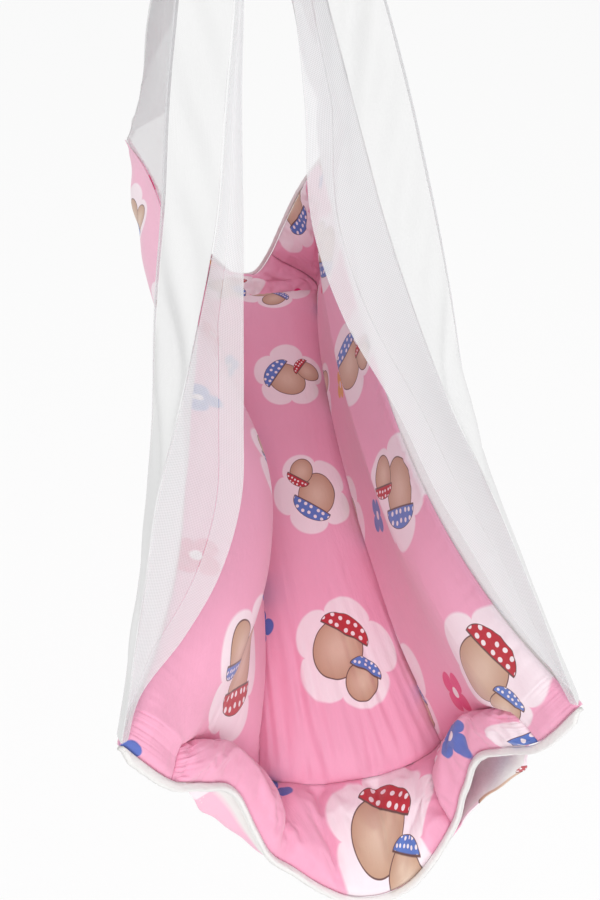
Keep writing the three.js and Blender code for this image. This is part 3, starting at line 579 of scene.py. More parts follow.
# Quilted patches: flat outside, crowned inside, sewn thin along their edges.
# Each way across a patch gives where it starts, where it ends, and how far its two shoulders reach.
# A wall runs on over the lip, and its rim goes on past the floor's ends to the corners.
# filling holds the settings of a cloth a little larger than its patch, blown up under pressure
fullLength, nearEnd, farEnd = (-edgeV, edgeV, 30, 30), (-edgeV, -floorV, 45, 60), (floorV, edgeV, 60, 45)
padEdge = floorU - 1.2
quilt = {
    "seamBow": 24, "seamTaper": 87, "taperFrom": 180, "taperPower": 1.2, "turnDip": 0.35, "turnReach": 22,
    "edge": 1.4, "thinnest": 0.8, "gap": 0.2, "cell": 6, "shoulder": 2.4, "wallShoulder": 45,
    "gussetCrown": 0.5, "gussetReach": 60, "mostSwell": 12, "frames": 20, "settle": 70, "creaseFrom": 4,
    "long": ("floorPad", "leftWallPad", "rightWallPad"),
    "filling": {
        "quality": 5, "mass": 0.3, "tension_stiffness": 15, "compression_stiffness": 15,
        "shear_stiffness": 5, "bending_stiffness": 0.4, "vertex_group_mass": "sewn",
        "use_pressure": True, "uniform_pressure_force": 4, "shrink_min": -0.03,
    },
    "patches": {
        "floorPad": {
            "u": (-floorU, floorU, 48, 48), "v": (-floorV, floorV, 45, 45), "crown": 18, "cut": (-18, -84),
            "fill": 0.6, "nodes": ["floor_pad"],
        },
        "leftWallPad": {
            "u": (-seamU, -floorU, 60, 48), "v": fullLength, "crown": 14, "cut": (20, 110), "fill": 0.6,
            "nodes": ["left_wall_pad", "left_rim"],
        },
        "rightWallPad": {
            "u": (floorU, seamU, 48, 60), "v": fullLength, "crown": 14, "cut": (-100, -45), "fill": 0.6,
            "nodes": ["right_wall_pad", "right_rim"],
        },
        "nearEndPad": {
            "u": (-lipU, padEdge, 40, 40), "v": nearEnd, "crown": 30, "cut": (-25, 116), "fill": 0.8,
            "nodes": ["near_end_pad", "near_left_roll"],
        },
        "nearRightRoll": {
            "u": (floorU, lipU, 40, 40), "v": nearEnd, "crown": 30, "cut": (160, 190), "fill": 0.8,
            "nodes": ["near_right_roll"],
        },
        "farEndPad": {
            "u": (-padEdge, padEdge, 40, 40), "v": farEnd, "crown": 16, "cut": (60, -130), "fill": 0.7,
            "nodes": ["far_end_pad"],
        },
        "farLeftRoll": {
            "u": (-lipU, -floorU, 40, 40), "v": farEnd, "crown": 16, "cut": (-30, 100), "fill": 0.7,
            "nodes": ["far_left_roll"],
        },
        "farRightRoll": {
            "u": (floorU, lipU, 40, 40), "v": farEnd, "crown": 16, "cut": (-210, 30), "fill": 0.7,
            "nodes": ["far_right_roll"],
        },
    },
}


# Grid twice as fine both ways, by a cubic through each four neighbours
def finer(grid):
    for axis in (0, 1):
        grid = np.moveaxis(grid, axis, 0)
        longer = np.concatenate([2 * grid[:1] - grid[1:2], grid, 2 * grid[-1:] - grid[-2:-1]])
        result = np.empty((2 * len(grid) - 1, *grid.shape[1:]))
        result[::2] = grid
        result[1::2] = (9 * (longer[1:-2] + longer[2:-1]) - longer[:-3] - longer[3:]) / 16
        grid = np.moveaxis(result, 0, axis)
    return grid


# Patches blown up by their filling while their seams are held; gives how far each point of them moves
def swell(blanks):
    runs = []
    for name, (grid, keep) in blanks.items():
        rows, columns = grid.shape[:2]
        piece = makePiece(name + "Blank", grid, gridFaces(rows, columns, 0)[keep.ravel()].tolist())
        wider = np.pad(keep, 1)
        border = ~(wider[:-1, :-1] & wider[1:, :-1] & wider[:-1, 1:] & wider[1:, 1:])
        held = piece.vertex_groups.new(name="sewn")
        held.add(np.flatnonzero(border).tolist(), 1.0, "REPLACE")
        cloth = piece.modifiers.new("filling", "CLOTH")
        for key, value in quilt["filling"].items():
            setattr(cloth.settings, key, value)
        cloth.settings.effector_weights.gravity = 0
        cloth.collision_settings.use_collision = False
        cloth.point_cache.frame_end = quilt["frames"]
        runs.append((name, piece, grid))
    for number in range(1, quilt["frames"] + 1):
        bpy.context.scene.frame_set(number)
    depsgraph = bpy.context.evaluated_depsgraph_get()
    moves = {}
    for name, piece, grid in runs:
        places = np.empty(grid.size, np.float32)
        piece.evaluated_get(depsgraph).data.vertices.foreach_get("co", places)
        move = places.reshape(grid.shape) / mm - grid
        length = np.linalg.norm(move, axis=-1, keepdims=True)
        move = move * np.minimum(1, quilt["mostSwell"] / np.maximum(length, 1e-6))
        # The long pads are laid tight along the bed, so only folds along it stay
        for _ in range(quilt["settle"] if name in quilt["long"] else 0):
            move[:, 1:-1] = (move[:, :-2] + 2 * move[:, 1:-1] + move[:, 2:]) / 4
        moves[name] = move
        mesh = piece.data
        bpy.data.objects.remove(piece)
        bpy.data.meshes.remove(mesh)
    bpy.context.scene.frame_set(1)
    return moves


def isWall(patch):
    return max(-patch["u"][0], patch["u"][1]) > lipU


# Grid places of a patch and its cells: those of a wall leave out the room of the rolls below its lip
def patchPlaces(patch, cell):
    ways = []
    for way, marks in (("u", (floorU, lipU)), ("v", (floorV,))):
        low, high = patch[way][0] + quilt["gap"], patch[way][1] - quilt["gap"]
        both = [sign * mark for mark in marks for sign in (-1, 1)]
        stops = sorted([low, *(mark for mark in both if low + cell < mark < high - cell), high])
        spans = [np.linspace(a, b, round((b - a) / cell) + 1)[:-1] for a, b in zip(stops, stops[1:])]
        ways.append(np.concatenate([*spans, [high]]))
    u, v = np.meshgrid(*ways, indexing="ij")
    middle = lambda grid: (grid[1:, 1:] + grid[:-1, :-1]) / 2
    return u, v, (np.abs(middle(v)) < floorV) | (np.abs(middle(u)) > lipU) | (not isWall(patch))


# Place along the bed where a row is sewn: the near seam bows out under the floor's middle, and runs out up
# the walls towards the corners; the rows on both sides of it are spread to keep up with it
def sewnPlace(u, v):
    bow = quilt["seamBow"] * np.clip(1 - np.abs(u / floorU) ** 3, 0, 1)
    outwards = np.clip((np.abs(u) - quilt["taperFrom"]) / (lipU - quilt["taperFrom"]), 0, 1)
    taper = quilt["seamTaper"] * outwards ** quilt["taperPower"]
    return v - (bow + taper) * np.interp(v, (-edgeV, -floorV, floorV), (0, 1, 0))


# Pillow profile over a patch: low at its seams, round shoulders up from them, and lower where it is narrow
def crownRise(patch, u, v):
    shoulder = lambda depth: np.sqrt(1 - (1 - np.clip(depth, 0, 1)) ** quilt["shoulder"])
    full = 1
    for place, (low, high, fromLow, fromHigh) in ((u, patch["u"]), (v, patch["v"])):
        full = full * shoulder((place - low) / fromLow) * shoulder((high - place) / fromHigh)
    length = lambda place: sewnPlace(place, patch["v"][1]) - sewnPlace(place, patch["v"][0])
    full = full * length(u) / length(np.linspace(*patch["u"][:2], 50)).max()
    # A pad that runs on from the floor's end up a wall dips where it turns up
    turnsUp = patch["u"][0] < -floorU < patch["u"][1] - 1
    full = full * (1 - quilt["turnDip"] * np.exp(-(((u + floorU) / quilt["turnReach"]) ** 2)) * turnsUp)
    if isWall(patch):
        aboveLip, fromEnd = np.maximum(np.abs(u) - lipU, 0), np.maximum(floorV - np.abs(v), 0)
        full = full * shoulder(np.hypot(aboveLip, fromEnd) / quilt["wallShoulder"])
        past = np.clip((np.abs(v) - floorV) / quilt["gussetReach"], 0, 1)
        full = full * (1 - (1 - quilt["gussetCrown"]) * past)
    return quilt["edge"] + (patch["crown"] - quilt["edge"]) * full


# Creases sewn into the quilt: short gathers along every seam, soft folds by the near seam, and tucks across
# it. A tuck is (place across, depth, width), and each kind of tuck has its reach from its seam
creases = {
    "gatherHeight": 1.9, "gatherReach": 15, "gatherLength": 16,
    "foldHeight": 4.5, "foldLength": 24, "foldReach": 150, "foldSlant": 0.12, "foldFrom": 30,
    "foldLeast": 0.4, "padFold": 0.4,
    "tucks": ((-51, 15, 9), (-34, 9, 6), (-72, 7, 6), (22, 14, 8), (46, 8, 6)), "tuckReach": 85,
    "padTucks": ((-44, 24, 8), (20, 21, 7), (64, 10, 6), (-84, 9, 6)), "padTuckReach": 95,
    "farTucks": (
        (-150, 9, 7), (-82, 11, 7), (-52, 8, 5), (-12, 12, 7),
        (18, 7, 5), (58, 11, 7), (92, 8, 6), (150, 10, 8),
    ),
    "farTuckReach": 70,
}


# Height of the creases: gathers are ripples that fade from each border, folds are ripples that fade from
# the near seam as a bell curve, and a tuck's depth fades both from its own line and from its seam
def creaseRise(patch, u, v):
    rise = 0
    for low, high, place, along, seed in ((*patch["u"][:2], u, v, 3), (*patch["v"][:2], v, u, 8)):
        for border, shift in ((low, 0), (high, 5)):
            fade = np.exp(-np.abs(place - border) / creases["gatherReach"])
            gather = ripple(along, creases["gatherLength"], seed + shift)
            rise = rise + creases["gatherHeight"] * fade * gather
    nearSeam, farSeam = np.abs(v + floorV), np.abs(v - floorV)
    onFloor = np.abs(u) < floorU
    fold = ripple(u + creases["foldSlant"] * (v + floorV), creases["foldLength"], 21, 3)
    fold = fold * np.exp(-((nearSeam / creases["foldReach"]) ** 2))
    fold = fold * np.where(v > -floorV, 1, creases["padFold"])
    fromLine = np.clip(nearSeam / creases["foldFrom"], creases["foldLeast"], 1)
    rise = rise + creases["foldHeight"] * fold * onFloor * fromLine
    for kind, there, fromSeam in (
        ("tuck", (v > -floorV) & onFloor, nearSeam),
        ("padTuck", v <= -floorV, nearSeam),
        ("farTuck", (v >= floorV) & (np.abs(u) < lipU), farSeam),
    ):
        for place, depth, width in creases[kind + "s"]:
            groove = depth * np.exp(-np.abs(u - place) / width - fromSeam / creases[kind + "Reach"])
            rise = rise - groove * there
    return rise


# A patch laid on the bed: where it is sewn, the bed under it, its normal, its crown and its upper face
def laidPatch(patch, u, v):
    sewn = sewnPlace(u, v)
    back, normal, rise = bedPoint(u, sewn), bedNormal(u, sewn), crownRise(patch, u, v)
    return sewn, back, normal, rise, back + normal * rise[..., None]


places, blanks = {}, {}
for name, patch in quilt["patches"].items():
    u, v, keep = places[name] = patchPlaces(patch, quilt["cell"])
    blanks[name] = laidPatch(patch, u, v)[-1], keep
moves = swell(blanks)
print("filling swelled" if moves else "filling skipped in a quick run")

for name, patch in quilt["patches"].items():
    u, v, keep = places[name]
    u, v, keep = finer(u), finer(v), keep.repeat(2, 0).repeat(2, 1)
    sewn, back, normal, rise, front = laidPatch(patch, u, v)
    if name in moves:
        front = front + finer(moves[name])
    # Creases start where the pad is thick enough for them, and it is thin but never bare at its seams
    inner = np.clip((rise - quilt["edge"]) / quilt["creaseFrom"], 0, 1)
    front = front + normal * (creaseRise(patch, u, v) * inner)[..., None]
    height = ((front - back) * normal).sum(-1)
    front = front + normal * np.maximum(quilt["thinnest"] - height, 0)[..., None]
    pad = slab(name, front, back, np.stack([u, sewn], -1) + np.array(patch["cut"]), keep=keep)
    fit(pad, quiltCotton, patch["nodes"])
print("quilt ready")

# Outer cloth: lies on the quilt outside, and hangs loose from it round the ends.
# A billow is (how far out, how far it reaches, where it is as a share of the way up)
outer = {
    "thickness": 1.0, "least": 0.7, "billowFrom": 0.8, "billowMost": 1.15, "near": (36, 62, 0.53),
    "far": (20, 85, 0.5), "closedTo": 9, "facing": 2, "turnedHem": 5, "wrinkle": 1.6, "wrinkleLength": 45,
    "wrinkleFrom": 0.3, "columns": 131, "rows": (0, 1.5, 3.5, 6, 9, 12.5, 16.5, 21, 26), "cut": 57.0,
}


# Room between quilt and outer cloth: a bell curve up the wall that grows towards the ends as the square of
# the way, and small wrinkles that grow evenly
def outerGap(u, v):
    start = outer["billowFrom"] * floorV
    loose = np.clip((np.abs(v) - start) / (edgeV - start), 0, 1) ** 2
    most, reach, share = (np.where(v < 0, near, far) for near, far in zip(outer["near"], outer["far"]))
    billow = most * np.exp(-(((np.abs(u) - share * seamU) / reach) ** 2))
    # At the near left it is sewn to the binding, and bulges out just below it
    closed = np.where((u < 0) & (v < 0), 1 - np.exp(-(edgeV - np.abs(v)) / outer["closedTo"]), 1)
    free = np.clip((np.abs(v) - outer["wrinkleFrom"] * floorV) / floorV, 0, 1)
    wave = outer["wrinkle"] * (1 + ripple(u, outer["wrinkleLength"], 41)) * free
    return outer["least"] + (billow * loose * outer["billowMost"] + wave) * closed


fromEdge = edgeV - np.concatenate([outer["rows"], np.arange(32, edgeV - 4, 8)])
ways = np.linspace(-seamU, seamU, outer["columns"]), np.concatenate([-fromEdge, fromEdge[::-1]])
u, v = np.meshgrid(*ways, indexing="ij")
normal = bedNormal(u, v)
inside = bedPoint(u, v) - normal * outerGap(u, v)[..., None]
outside = inside - normal * outer["thickness"]
# White lining inside up to a turned hem; where it is sewn to the binding, a white facing outside too
lining = (np.abs(v) < edgeV - outer["turnedHem"]).astype(float)
facing = ((v < outer["facing"] - edgeV) & (u < 0)).astype(float)
cloth = np.stack([u, v], -1) + outer["cut"]
outerCloth = slab("outerCloth", inside, outside, cloth, {"facing": (lining, facing)})
fit(outerCloth, outerCotton, ["outer_cloth"])
print("outer cloth ready")

# White binding sewn round the edge of each end flap, puckered and a little uneven
bindings = {
    "width": 7, "thickness": 6, "squareness": 0.6, "lift": 2.5, "gap": 1, "taper": 16, "tip": 0.3,
    "taperPower": 0.7, "wrinkle": 0.7, "wrinkleLength": 18, "pucker": 0.06, "waveLength": 60, "around": 34,
    "sides": 16, "rows": 340,
}
for end, name, node in ((-1, "nearBinding", "near_binding"), (1, "farBinding", "far_binding")):
    turns, half = turnSteps(bindings["sides"]), bindings["width"] / 2
    across = squarer(np.cos(turns), bindings["squareness"]) * half + half
    rise = squarer(np.sin(turns), bindings["squareness"]) * bindings["thickness"] / 2 + bindings["lift"]
    if end > 0:
        across, rise = across[::-1], rise[::-1]
    u = np.linspace(-seamU, seamU, bindings["rows"])[:, None]
    puckered = 1 + bindings["pucker"] * ripple(u, bindings["wrinkleLength"], 51 + end)
    fromTip = np.clip((seamU - np.abs(u)) / bindings["taper"], bindings["tip"], 1)
    puckered = puckered * fromTip ** bindings["taperPower"]
    unevenness = bindings["wrinkle"] * ripple(u, bindings["waveLength"], 55 + end)
    across, rise = across[None] * puckered, rise[None] + unevenness
    place = bedPoint(u + 0 * across, end * (edgeV + bindings["gap"] + across))
    rings = place + bedNormal(u, end * edgeV) * rise[..., None]
    around = np.linspace(0, bindings["around"], bindings["sides"])[None]
    binding = tube(name, rings, uv=np.stack(np.broadcast_arrays(u, around), -1))
    fit(binding, bindingCotton, [node])
# Cut as a rectangle, as wide as it is from seam to seam over the bed and as long as from edge to edge
print("bindings ready")

# Bands, net flanges and hems that hang from the sleeve to the four corners.
# cuts gives each corner's length, its band's area, and its flange's width and area, in metres.
# width, twist in degrees, and how far in the band and the hem lie (shares of reach) go by height, at riseAt
hang = {
    "cuts": {
        "nearLeft": (0.656, 0.0193, 0.04, 0.0105), "nearRight": (0.672, 0.0198, 0.04, 0.0105),
        "farLeft": (0.672, 0.0198, 0.04, 0.0105), "farRight": (0.672, 0.0198, 0.02, 0.0055),
    },
    "gatherHeight": 503, "gatherHalf": 14, "footShare": 0.006, "headShare": 0.9582, "crispAngle": 50,
    "bandWidth": 34, "bandThickness": 0.8, "netThickness": 0.4, "netGap": 2, "foldGap": 1.2, "reach": 80,
    "hemWidth": 18, "hemMost": 0.6, "hemGap": 0.3, "hemThickness": 0.5, "netFold": 5, "netFolds": 5,
    "bandFold": 7, "bandFoldLength": 95, "bandSlant": 30, "footPower": 8, "rows": 180,
    "riseAt": (0, 0.06, 0.13, 0.2, 0.28, 0.36, 0.46, 0.55, 0.65, 0.74, 1),
    "width": (0.25, 0.4, 0.55, 0.7, 0.85, 1, 1, 1, 1, 0.95, 0.42),
    "twist": (60, 68, 72, 72, 68, 55, 28, 8, 0, 0, 0),
    "left": {
        "band": (0, 0.03, 0.05, 0.08, 0.09, 0.13, 0.16, 0.19, 0.16, 0.15, 0),
        "hem": (0.07, 0.16, 0.5, 0.75, 0.86, 0.8, 0.7, 0.61, 0.5, 0.43, 0.19),
    },
    "nearRight": {
        "band": (0, 0.05, 0.1, 0.15, 0.21, 0.26, 0.24, 0.21, 0.16, 0.13, 0),
        "hem": (0.07, 0.18, 0.39, 0.54, 0.7, 0.8, 0.99, 0.99, 0.75, 0.58, 0.19),
    },
    "farRight": {
        "band": (0, 0.04, 0.07, 0.1, 0.13, 0.16, 0.15, 0.14, 0.13, 0.11, 0),
        "hem": (0.07, 0.17, 0.34, 0.44, 0.5, 0.5, 0.46, 0.44, 0.42, 0.38, 0.19),
    },
}


# A corner of the bed, its line up to the sleeve, and the two ways square to that line: in, and inside
def cornerFrame(side, end):
    corner = bedPoint(side * seamU, end * edgeV)
    way = np.array([side * hang["gatherHalf"], 0, bed["cornerHeight"] + hang["gatherHeight"]]) - corner
    length = np.linalg.norm(way)
    way = way / length
    inward = bedPoint(-side * seamU, end * edgeV) - corner
    inward = unit(inward - way * (inward @ way))
    inside = np.cross(way, inward)
    inside = -inside if inside[1] * end > 0 else inside
    drape = hang["left" if side < 0 else "nearRight" if end < 0 else "farRight"]
    frame = {"corner": corner, "way": way, "length": length, "inward": inward, "inside": inside}
    return {**frame, "drape": drape}


# Point beside a corner's line at a share of its height, moved along the line to stay at that height
def besideLine(corner, share, inward, inside):
    share, inward, inside = (value[..., None] for value in np.broadcast_arrays(share, inward, inside))
    aside = corner["inward"] * inward + corner["inside"] * inside
    level = share * aside[..., 2:] / corner["way"][2]
    return corner["corner"] + aside + corner["way"] * (share * corner["length"] - level)


def byHeight(table, share):
    return curveThrough(hang["riseAt"], table, share)


# Band at place -1 to 1 across it, and past its edge: half its width turned by its twist, round its middle
def bandPoint(corner, share, place, past):
    middle = hang["reach"] * byHeight(corner["drape"]["band"], share)
    half = hang["bandWidth"] / 2 * byHeight(hang["width"], share)
    twist = np.radians(byHeight(hang["twist"], share))
    out = half * place + past
    return besideLine(corner, share, middle + out * np.cos(twist), -out * np.sin(twist))


# Net between band and hem at place 0 to 1: straight across, with one fold, half a sine both ways
def flangePoint(corner, share, place):
    start = bandPoint(corner, share, 1, hang["foldGap"])
    flangeEnd = besideLine(corner, share, hang["reach"] * byHeight(corner["drape"]["hem"], share), 0)
    fold = hang["netFold"] * np.sin(np.pi * place) * np.sin(np.pi * share)
    return start + (flangeEnd - start) * place[..., None] + corner["inside"] * fold[..., None]


# Hung cloth on both sides of a grid, its pattern measured along the cloth itself; its cut edges stay crisp
# while its faces are shaded smooth
def hangCloth(name, grid, thickness, material, node):
    steps = [np.cumsum(np.linalg.norm(np.diff(grid, axis=axis), axis=-1), axis) for axis in (0, 1)]
    cloth = np.stack([np.pad(steps[0], ((1, 0), (0, 0))), np.pad(steps[1], ((0, 0), (1, 0)))], -1)
    normal = gridNormals(grid)
    piece = slab(name, grid + normal * thickness / 2, grid - normal * thickness / 2, cloth)
    piece.data.set_sharp_from_angle(angle=math.radians(hang["crispAngle"]))
    fit(piece, material, [node])
    return piece


share = np.linspace(hang["footShare"], hang["headShare"], hang["rows"])[None]
for side, sideName in ((-1, "Left"), (1, "Right")):
    for end, endName in ((-1, "near"), (1, "far")):
        corner = cornerFrame(side, end)
        name, node = endName + sideName, f"{endName}_{sideName.lower()}"
        # A band's soft folds run aslant across it and die out at its seams
        place = np.linspace(-1, 1, 17)[:, None]
        grid = bandPoint(corner, share, place, 0)
        aslant = share * corner["length"] + hang["bandSlant"] * place
        aslant = ripple(aslant, hang["bandFoldLength"], 60 + side + 2 * end, 3)
        fold = hang["bandFold"] * aslant * (1 - place**2) * np.sin(np.pi * share)
        grid = grid + gridNormals(grid) * fold[..., None]
        thickness = hang["bandThickness"]
        band = hangCloth(name + "Band", grid, thickness, tapeCotton, node + "_band")
        innerEdge, outerEdge = (flangePoint(corner, share, np.full((1, 1), edge)) for edge in (0.0, 1.0))
        width = np.linalg.norm(outerEdge - innerEdge, axis=-1)
        hemStart = 1 - np.minimum(hang["hemMost"], hang["hemWidth"] / width)
        grid = flangePoint(corner, share, np.linspace(0, 1, 19)[:, None] * hemStart)
        thickness = hang["netThickness"]
        flange = hangCloth(name + "Flange", grid, thickness, sideNet, node + "_flange")
        place = np.linspace(0, 1, 7)[:, None]
        grid = flangePoint(corner, share, hemStart + (1 - hemStart) * place)
        grid = grid + corner["inward"] * (hang["hemGap"] * (1 - place))[..., None]
        hem = hangCloth(name + "Hem", grid, hang["hemThickness"], hemNet, node + "_hem")
print("bands, flanges and hems ready")

# Side nets: gathered at the sleeve, sewn to the rim below. Each is stretched between its two bands, by the
# share along the bed, and bows out to its seam at its foot; soft folds run up it
for side, name, node in ((-1, "leftNet", "left_net"), (1, "rightNet", "right_net")):
    near, far = cornerFrame(side, -1), cornerFrame(side, 1)
    v = np.linspace(-edgeV, edgeV, 130)[:, None]
    rise = np.linspace(0, 1, 80)[None]
    share = hang["footShare"] + (hang["headShare"] - hang["footShare"]) * rise
    a = (v + edgeV) / (2 * edgeV)
    mix = lambda start, finish: start * (1 - a)[..., None] + finish * a[..., None]
    between = lambda share: mix(*(bandPoint(corner, share, -1, -hang["netGap"]) for corner in (near, far)))
    seam = lambda v: bedPoint(side * (seamU + hang["netGap"] / 2), v)
    seamLine = mix(seam(-edgeV), seam(edgeV))
    footOffset = between(np.full((1, 1), hang["footShare"])) - seamLine
    settle = 1 - (2 * a - 1) ** hang["footPower"]
    bow = seam(v) - seamLine - footOffset * settle[..., None]
    folds = side * hang["netFold"] * np.sin(2 * np.pi * hang["netFolds"] * a) * np.sin(np.pi * rise)
    grid = between(share) + bow * (1 - rise)[..., None] + folds[..., None] * np.array([1, 0, 0])
    net = hangCloth(name, grid, hang["netThickness"], sideNet, node)
print("side nets ready")

# Sleeve that gathers the bands and nets: pleated cotton, sewn flat at both ends and tied in at its middle.
# Radius: half its width less the insets there, which fade from both ends and from the tie, less the pleats
sleeve = {
    "foot": -184.8, "height": 42, "halfX": 30, "halfY": 25, "squareness": 0.55, "pleat": 0.9, "pleats": 26,
    "endInset": 2.0, "endReach": 0.02, "tieInset": 0.8, "tieReach": 0.16, "uneven": 0.6, "around": 28,
    "sides": 208, "rows": (0, 0.012, 0.04, 0.1, 0.2, 0.3, 0.4, 0.5, 0.6, 0.7, 0.8, 0.9, 0.96, 0.988, 1),
}
turns = turnSteps(sleeve["sides"])[None]
rise = np.array(sleeve["rows"])[:, None]
inset = sleeve["endInset"] * np.exp(-np.minimum(rise, 1 - rise) / sleeve["endReach"])
inset = inset + sleeve["tieInset"] * np.exp(-(((rise - 0.5) / sleeve["tieReach"]) ** 2))
wander = sleeve["uneven"] * np.sin(3 * turns)
pleat = sleeve["pleat"] * (1 + np.sin(sleeve["pleats"] * turns + wander + rise))
x = (sleeve["halfX"] - inset - pleat) * squarer(np.cos(turns), sleeve["squareness"])
y = (sleeve["halfY"] - inset - pleat) * squarer(np.sin(turns), sleeve["squareness"])
rings = points(x, y, sleeve["foot"] + sleeve["height"] * rise)
cloth = np.stack(np.broadcast_arrays(turns * sleeve["around"], rise * sleeve["height"]), -1)
gatherSleeve = tube("gatherSleeve", rings, uv=cloth)
fit(gatherSleeve, tapeCotton, ["gather_sleeve"])

# Webbing loop round the bar of the ring, its two plies sewn together below: a round-edged strip up a tail,
# round most of a circle about the bar, and down a tail
ring = {"bar": -125.0, "top": -83.0, "wire": 3, "halfWidth": 24, "corner": 7}
webbing = {
    "thickness": 2, "width": 32, "inner": 3.4, "tail": 12, "plyGap": 0.4, "squareness": 0.35, "sides": 28,
}
middleRadius = webbing["inner"] + webbing["thickness"] / 2
tailHalf = (webbing["thickness"] + webbing["plyGap"]) / 2
turn = math.asin(tailHalf / middleRadius)
arc = np.linspace(-np.pi / 2 + turn, 1.5 * np.pi - turn, 60)
foot = -webbing["inner"] - webbing["thickness"] - webbing["tail"]
down = np.linspace(foot, middleRadius * np.sin(arc[0]), 12)[:-1]
pathX = np.concatenate([0 * down + tailHalf, middleRadius * np.cos(arc), 0 * down - tailHalf])
pathZ = np.concatenate([down, middleRadius * np.sin(arc), down[::-1]])
acrossX, acrossZ = np.gradient(pathZ), -np.gradient(pathX)
size = np.hypot(acrossX, acrossZ)
turns = turnSteps(webbing["sides"])[None]
ply = squarer(np.cos(turns), webbing["squareness"]) * webbing["thickness"] / 2
wide = squarer(np.sin(turns), webbing["squareness"]) * webbing["width"] / 2
outX, outZ = (acrossX / size)[:, None] * ply, (acrossZ / size)[:, None] * ply
rings = points(pathX[:, None] + outX, wide, ring["bar"] + pathZ[:, None] + outZ)
along = np.cumsum(np.hypot(np.gradient(pathX), np.gradient(pathZ)))[:, None]
hangingLoop = tube("hangingLoop", rings, uv=np.stack(np.broadcast_arrays(wide, along), -1))
fit(hangingLoop, tapeCotton, ["hanging_loop"])
print("sleeve and loop ready")


# Round wire along a flat path (y or x, z): circles across the path, whose normal is found from its steps
def wire(y, z, radius, closed, plane="yz"):
    steps = (lambda a: np.roll(a, -1) - np.roll(a, 1)) if closed else np.gradient
    outY, outZ = steps(z), -steps(y)
    size = np.hypot(outY, outZ)
    turns = turnSteps(24)[None]
    reach = radius * np.cos(turns)
    flatY = y[:, None] + (outY / size)[:, None] * reach
    flatZ = z[:, None] + (outZ / size)[:, None] * reach
    aside = np.broadcast_to(radius * np.sin(turns), flatY.shape)
    return points(aside, flatY, flatZ) if plane == "yz" else points(flatY, aside, flatZ)


# Ring like a D: half a circle above a straight bar with round corners
arch = np.linspace(0, np.pi, 48)
bend = np.linspace(0, np.pi / 2, 10)
half, corner = ring["halfWidth"], ring["corner"]
inner = half - corner
y = np.concatenate([half * np.cos(arch), -inner - corner * np.cos(bend), inner + corner * np.sin(bend)])
z = np.concatenate([
    ring["top"] - half + half * np.sin(arch),
    ring["bar"] + corner * (1 - np.sin(bend)),
    ring["bar"] + corner * (1 - np.cos(bend)),
])
dRing = tube("dRing", wire(y, z, ring["wire"], True), closed=True)
fit(dRing, zincSteel, ["d_ring"], "ring")


# Profile of (radius, height) points turned round the vertical axis
def turned(name, profile, closed=False):
    radii, heights = np.array(profile, float).T
    radii, heights, turns = radii[:, None], heights[:, None], turnSteps(48)[None]
    return tube(name, points(radii * np.cos(turns), radii * np.sin(turns), heights + 0 * turns), closed)


def joinPieces(name, *parts):
    bpy.ops.object.select_all(action="DESELECT")
    for part in parts:
        part.select_set(True)
    bpy.context.view_layer.objects.active = parts[0]
    bpy.ops.object.join()
    parts[0].name = name
    return parts[0]


# Swivel: an eye on a socket, a collar below it, and a hook whose head turns between them.
# axis is the radius of the hole that a turned piece leaves in its middle, closed by its end faces
swivel = {
    "eye": 16, "eyeWire": 4, "socket": 9, "wall": 2.2, "top": -16, "foot": -42, "collar": -42.4,
    "collarFoot": -46.4, "shank": 3, "play": 0.4, "headHeight": 3, "hook": 15, "hookWire": 3.5,
    "hookMiddle": -74.9, "hookFrom": 50, "hookTo": -220, "lead": 4, "leadRise": 3, "axis": 0.02,
}
ringTurns = turnSteps(96)
eyeY, eyeZ = swivel["eye"] * np.cos(ringTurns), swivel["eye"] * np.sin(ringTurns)
eye = tube("eye", wire(eyeY, eyeZ, swivel["eyeWire"], True, "xz"), closed=True)
axis, side, top, foot, play = (swivel[key] for key in ("axis", "socket", "top", "foot", "play"))
bore = side - swivel["wall"]
ceiling, shoulder = top - swivel["eyeWire"] - swivel["wall"], top - swivel["wall"]
socket = turned("socket", [
    (axis, ceiling), (bore - 0.6, ceiling), (bore, ceiling - 0.6), (bore, foot + 0.4), (bore + 0.4, foot),
    (side - 0.6, foot), (side, foot + 0.6), (side, shoulder - 0.6), (side - 0.5, shoulder + 0.3),
    (bore + 0.3, top - 0.2), (bore - 0.6, top), (axis, top),
])
swivelEye = joinPieces("swivelEye", eye, socket)
fit(swivelEye, zincSteel, ["swivel_eye"], "hanger")

collarBore, low, high = swivel["shank"] + play, swivel["collarFoot"], swivel["collar"]
swivelCollar = turned("swivelCollar", [
    (collarBore, low + 0.3), (collarBore + 0.3, low), (side - 0.7, low), (side, low + 0.7),
    (side, high - 0.4), (side - 0.4, high), (collarBore + 0.3, high), (collarBore, high - 0.3),
], closed=True)
fit(swivelCollar, zincSteel, ["swivel_collar"], "hanger")

headFoot, headRadius, headHeight = high + play, bore - play, swivel["headHeight"]
head = turned("head", [
    (axis, headFoot), (headRadius - 0.4, headFoot), (headRadius, headFoot + 0.4),
    (headRadius, headFoot + headHeight - 0.4), (headRadius - 0.4, headFoot + headHeight),
    (axis, headFoot + headHeight),
])
shankFoot = swivel["hookMiddle"] + swivel["hook"] + swivel["hookWire"]
low, high, radius = shankFoot - 1, headFoot + headHeight / 2, swivel["shank"]
shank = turned("shank", [(axis, low), (radius, low), (radius, high), (axis, high)])
